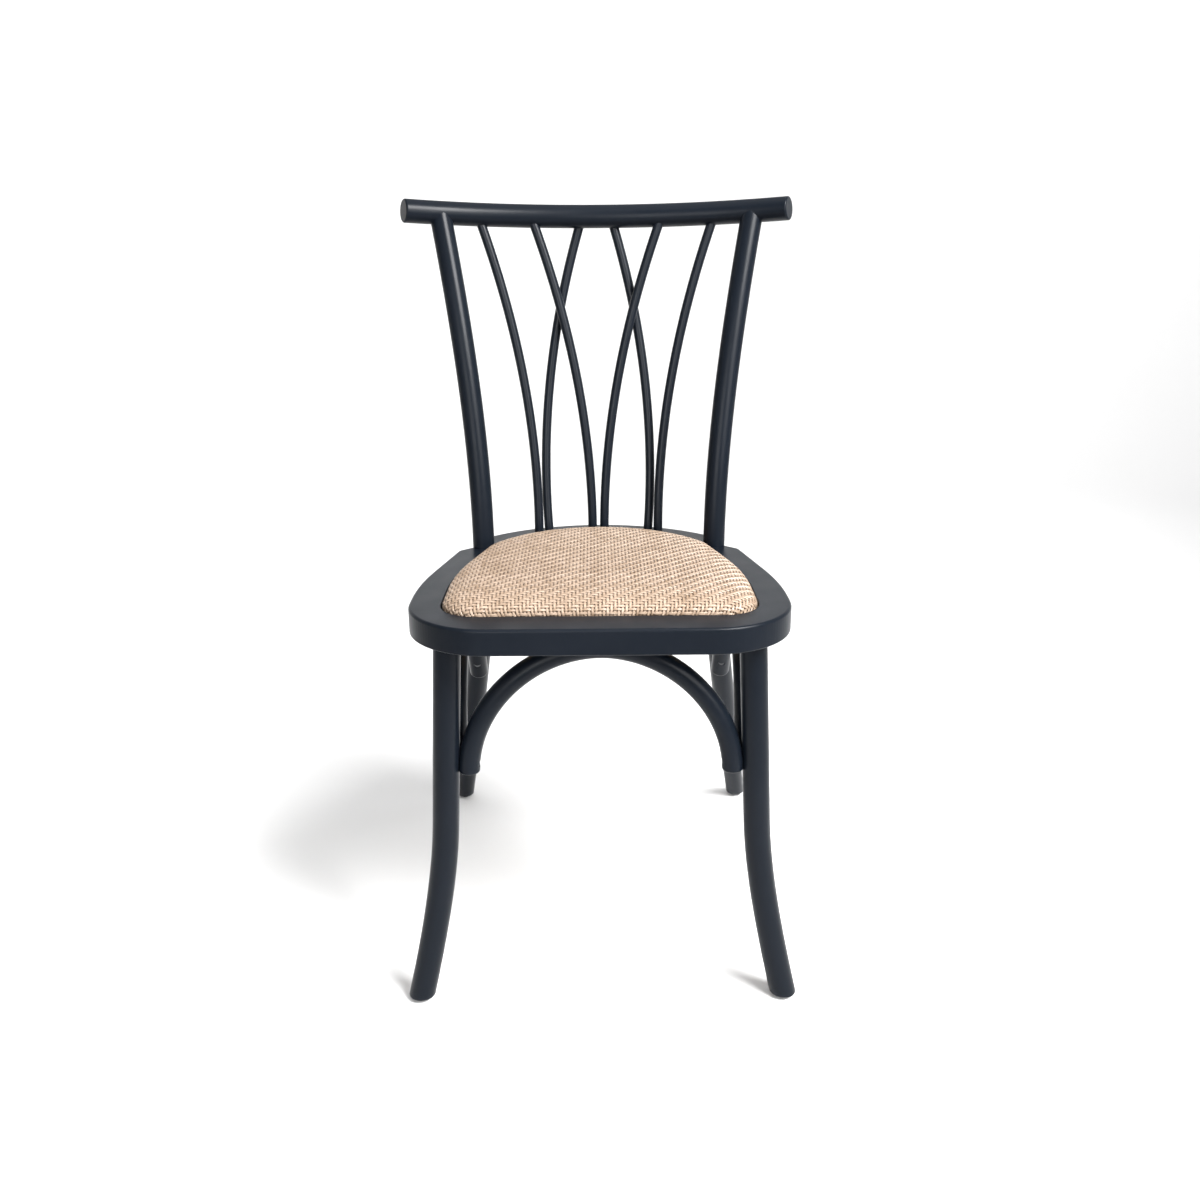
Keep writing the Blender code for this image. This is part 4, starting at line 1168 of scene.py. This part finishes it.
def make_rail():
    """The bowed crest rail."""
    s = back()
    reach = math.asin(s.rail_length / 2 / rail_bow_radius())
    angles = steps_between(-reach, reach, steps=110)
    points = [rail_axis(rail_bow_radius() * math.sin(a)) for a in angles]
    line, radii = rounded_rod(points, s.rail_diameter / 2, s.rail_end)
    rod("crest_rail", line, radii, sides=48)


def make_spindle(kind, side, word):
    """One bent spindle from its socket in the ring into the rail."""
    s = back()
    size = SPINDLES[kind]
    head = rail_axis(side * size["head"])
    foot = Vector((side * size["foot"], spindle_foot_y(size["foot"]), RING_HIGH.z))
    belly = (foot + head) / 2
    belly.x = side * size["belly"]
    for point, shift in zip((foot, belly, head), size["shift"]):
        point.y += shift
    points = [
        foot * (1 - up) ** 2 + belly * 2 * up * (1 - up) + head * up**2
        for up in steps_between(0, 1, steps=64)
    ]
    points.insert(0, foot + (foot - belly).normalized() * s.spindle_socket)
    radii = [s.spindle_diameter / 2] * len(points)
    rod(f"spindle_{kind}_{word}", points, radii, sides=32, coat=slim_lacquer())


def rounded_share(value):
    """A cosine or sine of a half-round that is slightly slimmer than a circle at its shoulders."""
    return math.copysign(abs(value) ** (2 / legs().brace_roundness), value)


def make_front_brace():
    """The half-round arch between the front legs."""
    s = legs()
    radius, end, fine_steps = front_brace_radius(), brace_end(), 400
    points = []
    for step in range(fine_steps + 1):
        a = math.pi * (1 - step / fine_steps)
        across, up = rounded_share(math.cos(a)), rounded_share(math.sin(a))
        points.append(Vector((radius * across, s.y, end + radius * up)))
    line, radii = rounded_rod(even_line(points, steps=120), s.brace_diameter / 2, s.brace_round)
    rod("front_brace", line, radii, holes=screw_holes(front_screws()))


def side_brace_frame(side):
    """The upright plane of a side brace: a point in the front leg, and its corners along y and up."""
    s = legs()
    end, small = brace_end(), 0.0003
    origin = front_leg_axis(end, side) - Vector((side * s.side_inset, 0, 0))
    rear, above = rear_leg_axis(end, side), rear_leg_axis(end + small, side)
    slope = (rear.y - above.y) / small
    front_reach = math.sqrt(brace_gauge() ** 2 - s.side_inset**2)
    gauge = rear_leg_radius(end) + s.brace_diameter / 2 - s.brace_bite
    rear_reach = math.sqrt(gauge**2 - (rear.x - origin.x) ** 2) * math.hypot(1, slope)
    rear_end = rear.y - origin.y - rear_reach
    rise = brace_top() - end
    corners = [(front_reach, 0.0), (front_reach, rise), (rear_end - slope * rise, rise), (rear_end, 0.0)]
    return origin, [Vector(corner) for corner in corners]


def make_side_brace(side, word):
    """A bent arch from a front leg to a rear leg."""
    s = legs()
    origin, corners = side_brace_frame(side)
    flat = [corners[0]]
    for last, corner, following in zip(corners, corners[1:], corners[2:]):
        before, after = (corner - last).normalized(), (following - corner).normalized()
        flat += corner_arc(corner, before, after, s.side_radius, steps=90)
    flat.append(corners[-1])
    points = [origin + Vector((0, point.x, point.y)) for point in flat]
    line, radii = rounded_rod(even_line(points, steps=110), s.brace_diameter / 2, s.brace_round)
    rod(f"side_brace_{word}", line, radii, holes=screw_holes(side_screws(side)))


# Screws, bolts and glides


def end_screw(limb, leg):
    """A screw through a brace's end into the leg beside it: place of its head, direction and length."""
    s = hardware()
    direction = (leg - limb).normalized()
    start = limb - direction * (legs().brace_diameter / 2 - s.sink)
    return start, direction, legs().brace_diameter - s.sink + s.grip


def top_screw(spot):
    """A screw up through a brace's top into the ring."""
    s = hardware()
    low = brace_top() - legs().brace_diameter / 2 + s.sink
    return Vector((spot.x, spot.y, low)), UP, legs().brace_diameter - s.sink + s.ring_grip


def side_screws(side):
    """The three screws of a side brace, front, rear and top."""
    s = hardware()
    origin, corners = side_brace_frame(side)
    height = brace_end() + s.side_rise
    along = corners[3] + (corners[2] - corners[3]) * s.side_rise / (corners[2].y - corners[3].y)
    front = origin + Vector((0, corners[0].x, s.side_rise))
    rear = origin + Vector((0, along.x, s.side_rise))
    bend = legs().side_radius * math.tan((corners[2] - corners[1]).angle(corners[3] - corners[2]) / 2)
    middle = (corners[1].x + legs().side_radius + corners[2].x - bend) / 2
    return {
        "side_brace_front": end_screw(front, front_leg_axis(height, side)),
        "side_brace_rear": end_screw(rear, rear_leg_axis(height, side)),
        "side_brace_top": top_screw(origin + Vector((0, middle, 0))),
    }


def front_screws():
    """The three screws of the front brace."""
    s = hardware()
    height = brace_end() + s.front_rise
    reach = math.sqrt(front_brace_radius() ** 2 - s.front_rise**2)
    found = {"front_brace_top": top_screw(Vector((0, legs().y)))}
    for side, word in SIDES:
        limb = Vector((side * reach, legs().y, height))
        found[f"front_brace_{word}"] = end_screw(limb, front_leg_axis(height, side))
    return found


def board_screws():
    """The four screws up through the ring's lip into the board."""
    s = hardware()
    corners = pad_corners()
    bow, half_lip = rear_bow_radius(corners), seat().lip / 2
    rear = corners[-1][1] - bow + math.sqrt((bow - half_lip) ** 2 - s.board_rear**2)
    spots = {"front": (s.board_front, seat().front_strip + half_lip), "rear": (s.board_rear, rear)}
    grip = RING_HIGH.z - seat().rebate + s.board_grip - RING_LOW.z
    return {
        f"board_{end}_{word}": (Vector((side * x, y, RING_LOW.z + s.fit)), UP, grip)
        for side, word in SIDES for end, (x, y) in spots.items()
    }


def screw_holes(screws):
    """The countersunk holes of some screws, as far as they can be seen."""
    s = hardware()
    head, shank = s.screw_head / 2 + s.fit, s.screw_shank / 2 + s.fit
    profile = [(-s.sink - s.room, head), (s.fit, head), (s.head_depth + s.fit, shank)]
    return [(start, direction, profile) for start, direction, grip in screws.values()]


def bolt_place(side):
    """Where a bolt's head lies against the rear leg, and its direction into the ring."""
    lip_top = RING_HIGH.z - seat().rebate
    inward = Vector((-side * math.sin(seat().pad_leg_angle), math.cos(seat().pad_leg_angle), 0))
    centre = rear_leg_axis((RING_LOW.z + lip_top) / 2, side)
    return centre - inward * (back().leg_diameter / 2 - hardware().bolt_seat), inward


def bolt_hole(side):
    """The flat seat under a bolt's head."""
    s = hardware()
    radius = s.bolt_head / 2 + s.room
    start, inward = bolt_place(side)
    return start, inward, [(-s.bolt_dome - 2 * s.room, radius), (s.fit, radius)]


def make_screw(name, start, direction, grip):
    """A countersunk screw with a cross recess."""
    s = hardware()
    head, shank = s.screw_head / 2, s.screw_shank / 2
    bevel, rim_high, rim_low = 0.0004, 0.00035, 0.0006
    profile = [
        (0.0, head - bevel), (rim_high, head), (rim_low, head), (s.head_depth, shank),
        (grip - s.tip, shank), (grip, shank / 4),
    ]
    made = turned(f"screw_{name}", start, direction, profile, 24, zinc())
    above, deep, arm, arm_end, arm_width = 0.001, 0.0018, head * 0.52, head * 0.12, 0.30
    recess = [(-above, arm), (0.0, arm), (deep, arm_end)]
    cross = ((1.0, arm_width), (arm_width, 1.0))
    drill(made, [(start, direction, recess)], sides=4, squash=cross)
    settle(made, f"screw_{name}", sharp=30)


def make_bolt(side, word):
    """A domed bolt with a six-sided socket, through a rear leg and the ring."""
    s = hardware()
    start, inward = bolt_place(side)
    head, shank = s.bolt_head / 2, s.bolt / 2
    offset = (rear_leg_axis(RING_HIGH.z, side) - rear_leg_axis(start.z, side)).dot(inward)
    end = offset + back().leg_diameter - s.bolt_seat + 2 * s.fit + seat().pad_leg_wall + seat().lip
    end += s.nut + s.bolt_end - s.nut_seat
    flat_top, edge, step, tip = 0.42, 0.0004, 0.00002, 0.0005
    turns = steps_between(flat_top, math.pi / 2, steps=9)[:-1]
    profile = [(-s.bolt_dome * math.cos(a) / math.cos(flat_top), head * math.sin(a)) for a in turns]
    profile += [(-edge, head), (-step, head), (0.0, shank), (end - tip, shank), (end, shank - tip)]
    made = turned(f"bolt_{word}", start, inward, profile, 32, zinc())
    above, wall_end, deep, wide, point = 0.004, 0.0009, 0.0006, 0.0023, 0.0004
    drill(made, [(start, inward, [(-above, wide), (-wall_end, wide), (-deep, point)])], sides=6)
    settle(made, f"bolt_{word}", sharp=30)


def make_glide(leg, name):
    """A round glide under a foot, with its nail."""
    s = hardware()
    radius, top = s.glide / 2, s.glide_height
    sole, shoulder, shoulder_high, side, edge, step = 0.84, 0.93, 0.0003, 0.0010, 0.0004, 0.00002
    profile = [
        (0.0, radius * sole), (shoulder_high, radius * shoulder), (side, radius),
        (top - edge, radius), (top, radius - edge),
        (top + step, s.nail / 2), (top + s.nail_length, s.nail / 6),
    ]
    material = finish("glide_plastic", plastic_material)
    made = turned(name, Vector((leg.x, leg.y, 0.0)), UP, profile, 36, material)
    settle(made, name, sharp=30)


# The seat


def ring_profile():
    """The ring's section as rows of (outline, inset, height), once around."""
    s = seat()
    low, high = RING_LOW.z, RING_HIGH.z
    flat = 0.0006
    bottom, top = quarter_round(s.bottom_arris, 4), quarter_round(s.top_arris, 6)[::-1]
    inner = quarter_round(s.inner_arris, 4)
    return [
        *(("outer", inset, low + up) for up, inset in bottom),
        ("outer", 0.0, low + s.bottom_arris + flat),
        ("outer", 0.0, high - s.top_arris - flat),
        *(("outer", inset, high - down) for down, inset in top),
        ("outer", s.top_arris + flat, high),
        ("pad", -s.inner_arris - flat, high),
        *(("pad", -inset, high - down) for down, inset in inner),
        ("pad", 0.0, high - s.inner_arris - flat),
        ("pad", 0.0, high - s.rebate),
        ("pad", s.lip, high - s.rebate),
        ("pad", s.lip, low + s.bottom_arris),
        ("pad", s.lip - s.bottom_arris, low),
    ]


def make_ring():
    """The bent seat ring, lofted around the pad opening."""
    corners = {"outer": seat_corners(), "pad": pad_corners()}
    angles = shared_angles(
        outline(corners["outer"]), outline(corners["outer"], seat().top_arris),
        outline(corners["pad"]), outline(corners["pad"], seat().lip),
    )
    builder = bmesh.new()
    rings = []
    for kind, inset, z in ring_profile():
        points = around_centre(outline(corners[kind], inset), angles)
        rings.append([builder.verts.new(in_frame(Vector((p.x, p.y, z)))) for p in points])
    bridge(builder, [*rings, rings[0]])
    mesh = built_mesh(builder, "seat_ring")
    mesh.materials.append(lacquer())
    made = place_object("seat_ring_bent", mesh)
    drill(made, screw_holes(board_screws()) + [bolt_hole(side) for side, word in SIDES])
    settle(made, "seat_ring", sharp=35)


def crown_rows(inset, drop, wall):
    """The crowned pad's middle, and its rows of points to its edge and down its wall.

    Each point holds its place, its place on the pad spread flat, and how far it lies past the edge.
    """
    s = pad()
    crown_steps, wall_steps = 44, 8
    edge = RING_HIGH.z + s.edge_rise
    base = outline(pad_corners(), inset)
    rim = around_centre(base, shared_angles(base))
    centre = pad_centre()
    middle = Vector((centre.x, centre.y, edge + s.crown - drop))
    levels = []
    for i in range(1, crown_steps + 1):
        outwards = math.sin(math.pi / 2 * i / crown_steps)
        rise = s.crown * math.sqrt(max(0.0, 1 - outwards**s.crown_power))
        levels.append((outwards, edge + rise - drop, 0.0))
    for i in range(1, wall_steps + 1):
        levels.append((1.0, edge - drop - wall * i / wall_steps, wall * i / wall_steps))
    rows = []
    travelled = [0.0] * len(rim)
    last = [middle] * len(rim)
    for outwards, z, down in levels:
        row = []
        for i, point in enumerate(rim):
            flat = centre + (point - centre) * outwards
            place = Vector((flat.x, flat.y, z))
            travelled[i] += (place - last[i]).length
            last[i] = place
            way = (point - centre).normalized()
            row.append((place, way * travelled[i], down - (point - centre).length * (1 - outwards)))
        rows.append(row)
    return middle, rows


def skin_mesh(name, middle, rows, closed=False):
    """A mesh over the rows of the crowned pad, whose middle is its first point."""
    total = len(rows[0])
    points = [in_frame(middle)] + [in_frame(place) for row in rows for place, flat, reach in row]
    faces = [(0, 1 + i, 1 + (i + 1) % total) for i in range(total)]
    for low in range(1, len(points) - total, total):
        for i in range(total):
            j = (i + 1) % total
            faces.append((low + i, low + total + i, low + total + j, low + j))
    if closed:
        faces.append(tuple(reversed(range(len(points) - total, len(points)))))
    mesh = bpy.data.meshes.new(name)
    mesh.from_pydata(points, [], faces)
    return mesh


def cane_map():
    """The skin that the strands follow: a hidden mesh with its flat map, its normals and its edge."""
    middle, rows = crown_rows(pad().groove, drop=0.0, wall=0.010)
    mesh = skin_mesh("cane_map", middle, rows)
    mesh.update()
    flats = [Vector((0, 0))] + [flat for row in rows for place, flat, reach in row]
    layer = mesh.uv_layers.new(name="flat_map")
    for loop in mesh.loops:
        flat = flats[loop.vertex_index]
        layer.data[loop.index].uv = (flat.x * FLAT_SCALE + FLAT_MIDDLE, flat.y * FLAT_SCALE + FLAT_MIDDLE)
    reaches = [-1.0] + [reach for row in rows for place, flat, reach in row]
    places = [value for point in mesh.vertices for value in point.co]
    normals = [value for normal in mesh.vertex_normals for value in normal.vector]
    store(mesh, "edge_reach", "FLOAT", reaches)
    store(mesh, "skin_place", "FLOAT_VECTOR", places)
    store(mesh, "skin_normal", "FLOAT_VECTOR", normals)
    return mesh


def make_backing():
    """The padded body under the cane, a closed crowned form that the board carries."""
    under_cane, board = 0.0012, 0.0094
    board_top = RING_HIGH.z - seat().rebate + board
    wall = RING_HIGH.z + pad().edge_rise - under_cane - board_top
    middle, rows = crown_rows(pad().groove + under_cane, under_cane, wall)
    mesh = skin_mesh("seat_foam", middle, rows, closed=True)
    # The backing's dark finish is painted shade for the gaps between the strands.
    mesh.materials.append(finish("cane_backing", shaded_backing_material))
    made = place_object("seat_pad", mesh)
    settle(made, "seat_foam")


def make_cane(lengthwise, word):
    """The strands that run one way."""
    s = pad()
    tree = bpy.data.node_groups.get("Woven Cane") or woven_cane_tree()
    along = 0.04
    stretch = (1, along, 1) if lengthwise else (along, 1, 1)
    made = place_object(f"cane_{word}", cane_map())
    with_tree(made, tree, {
        "Pitch": s.pitch, "Width": s.strand_width, "Thickness": s.strand_thickness, "Wave": s.wave,
        "Strands": s.strands, "Lengthwise": lengthwise, "Tuck": s.tuck, "Seed": s.seed + lengthwise,
        "Material": finish(f"cane_{word}", cane_material, stretch=stretch),
    })
    join_chair(made, "rattan_cover")


def dress(names, material):
    """Gives carried-over nodes their finish."""
    for name in names:
        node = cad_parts[name]
        for place in node.material_slots:
            place.material = material
        if not node.material_slots:
            node.data.materials.append(material)


# The stage


def make_floor():
    """A round pale floor that curves up into a wall."""
    flat, bend, top, sides = 2.6, 1.2, 3.4, 96
    turns = steps_between(0.1, math.pi / 2, steps=14)
    profile = [(flat, 0.0), *((flat + bend * math.sin(a), bend * (1 - math.cos(a))) for a in turns)]
    profile.append((flat + bend, top))
    builder = bmesh.new()
    centre = builder.verts.new((0, 0, 0))
    rings = [
        [builder.verts.new((radius * math.cos(a), radius * math.sin(a), z)) for a in circle(sides)]
        for radius, z in profile
    ]
    for i in range(sides):
        builder.faces.new((centre, rings[0][i], rings[0][(i + 1) % sides]))
    bridge(builder, rings[::-1])
    mesh = built_mesh(builder, "pale_floor")
    mesh.shade_smooth()
    mesh.materials.append(finish("pale_floor", floor_material))
    floor = place_object("pale_floor", mesh)


def make_camera():
    """The camera at the photograph's place and angle."""
    s = stage()
    turn, dip = math.cos(s.yaw), math.cos(s.pitch)
    ahead = Vector((math.sin(s.yaw) * dip, turn * dip, -math.sin(s.pitch)))
    right = Vector((turn, -math.sin(s.yaw), 0))
    up = right.cross(ahead)
    leaning = right * math.cos(s.roll) + up * math.sin(s.roll)
    upright = up * math.cos(s.roll) - right * math.sin(s.roll)
    data = bpy.data.cameras.new("camera")
    data.lens = s.lens
    data.sensor_width = data.sensor_height = SENSOR
    place = Matrix((leaning, upright, -ahead)).transposed().to_4x4()
    place.translation = in_frame(Vector((s.camera_x, s.camera_y, s.camera_z)))
    camera = place_object("camera", data)
    camera.matrix_world = place
    bpy.context.scene.camera = camera


def make_lights():
    """A bright world and soft area lights above and beside the chair."""
    world = bpy.data.worlds.new("soft_white")
    world.use_nodes = True
    background = world.node_tree.nodes["Background"]
    background.inputs["Color"].default_value = (1, 1, 1, 1)
    background.inputs["Strength"].default_value = WORLD_STRENGTH
    bpy.context.scene.world = world
    bpy.context.scene.view_settings.view_transform = "Standard"
    for name, spot, aim, size, power, spread in LIGHTS:
        data = bpy.data.lights.new(name, "AREA")
        data.shape = "SQUARE"
        data.size = size
        data.energy = power
        data.spread = math.radians(spread)
        light = place_object(name, data)
        light.matrix_world = look_at(Vector(spot), Vector(aim))
        light.visible_camera = False


def look_at(spot, aim):
    """A place that looks from a spot to an aim."""
    place = (spot - aim).to_track_quat("Z", "Y").to_matrix().to_4x4()
    place.translation = spot
    return place


# Operators


class MakeSeatRing(Operator):
    """Makes the bent seat ring"""

    bl_idname = "chair.make_seat_ring"
    bl_label = "Seat Ring"

    def execute(self, context):
        make_ring()
        return {"FINISHED"}


class MakeBack(Operator):
    """Makes the rear legs with their posts, the crest rail and the spindles"""

    bl_idname = "chair.make_back"
    bl_label = "Back and Rear Legs"

    def execute(self, context):
        for side, word in SIDES:
            make_rear_leg(side, word)
            for kind in SPINDLES:
                make_spindle(kind, side, word)
        make_rail()
        return {"FINISHED"}


class MakeLegs(Operator):
    """Makes the front legs and the arched braces"""

    bl_idname = "chair.make_legs"
    bl_label = "Front Legs and Braces"

    def execute(self, context):
        for side, word in SIDES:
            make_front_leg(side, word)
            make_side_brace(side, word)
        make_front_brace()
        return {"FINISHED"}


class MakePad(Operator):
    """Makes the crowned pad and weaves the cane over it"""

    bl_idname = "chair.make_pad"
    bl_label = "Woven Pad"

    def execute(self, context):
        make_backing()
        make_cane(False, "crosswise")
        make_cane(True, "lengthwise")
        return {"FINISHED"}


class MakeHardware(Operator):
    """Makes the screws, the bolts and the glides, and finishes the board and the nuts"""

    bl_idname = "chair.make_hardware"
    bl_label = "Hardware and Board"

    def execute(self, context):
        screws = {**front_screws(), **board_screws()}
        for side, word in SIDES:
            screws.update({f"{name}_{word}": place for name, place in side_screws(side).items()})
            make_bolt(side, word)
            make_glide(front_leg_axis(FOOT_LOW, side), f"glide_front_{word}")
            make_glide(rear_leg_axis(FOOT_LOW, side), f"glide_rear_{word}")
        for name, (start, direction, grip) in screws.items():
            make_screw(name, start, direction, grip)
        dress(["seat_board"], finish("birch_plywood", plywood_material))
        dress(["nut_left", "nut_right"], zinc())
        return {"FINISHED"}


class MakeStage(Operator):
    """Sets the camera, the pale floor and the soft lights"""

    bl_idname = "chair.make_stage"
    bl_label = "Stage"

    def execute(self, context):
        make_floor()
        make_camera()
        make_lights()
        return {"FINISHED"}


class ChairPanel(Panel):
    """The chair's sizes and the buttons that make its pieces"""

    bl_idname = "VIEW3D_PT_chair"
    bl_label = "Bentwood Chair"
    bl_space_type = "VIEW_3D"
    bl_region_type = "UI"
    bl_category = "Chair"

    def draw(self, context):
        for title, label, group in SETTINGS:
            box = self.layout.box()
            box.label(text=title)
            for key in group.__annotations__:
                box.prop(getattr(context.scene, label), key)
        for operator in OPERATORS:
            self.layout.operator(operator.bl_idname)


OPERATORS = (MakeStage, MakeSeatRing, MakeBack, MakeLegs, MakePad, MakeHardware)
SETTINGS = (
    ("Seat", "chair_seat", ChairSeatSizes),
    ("Back", "chair_back", ChairBackSizes),
    ("Legs", "chair_legs", ChairLegSizes),
    ("Pad", "chair_pad", ChairPadSizes),
    ("Hardware", "chair_hardware", ChairHardwareSizes),
    ("Finishes", "chair_finishes", ChairFinishes),
    ("Stage", "chair_stage", ChairStage),
)
CLASSES = (*(group for title, label, group in SETTINGS), *OPERATORS, ChairPanel)


def register():
    """Adds the chair's settings, its operators and its panel."""
    for made in CLASSES:
        bpy.utils.register_class(made)
    for title, label, group in SETTINGS:
        setattr(bpy.types.Scene, label, PointerProperty(type=group))


def unregister():
    """Takes them away again."""
    for title, label, group in SETTINGS:
        delattr(bpy.types.Scene, label)
    for made in reversed(CLASSES):
        bpy.utils.unregister_class(made)


def main():
    """Makes the stage and the chair in order."""
    register()
    bpy.ops.chair.make_stage()
    bpy.ops.chair.make_seat_ring()
    bpy.ops.chair.make_back()
    bpy.ops.chair.make_legs()
    bpy.ops.chair.make_pad()
    bpy.ops.chair.make_hardware()


if __name__ == "__main__":
    main()
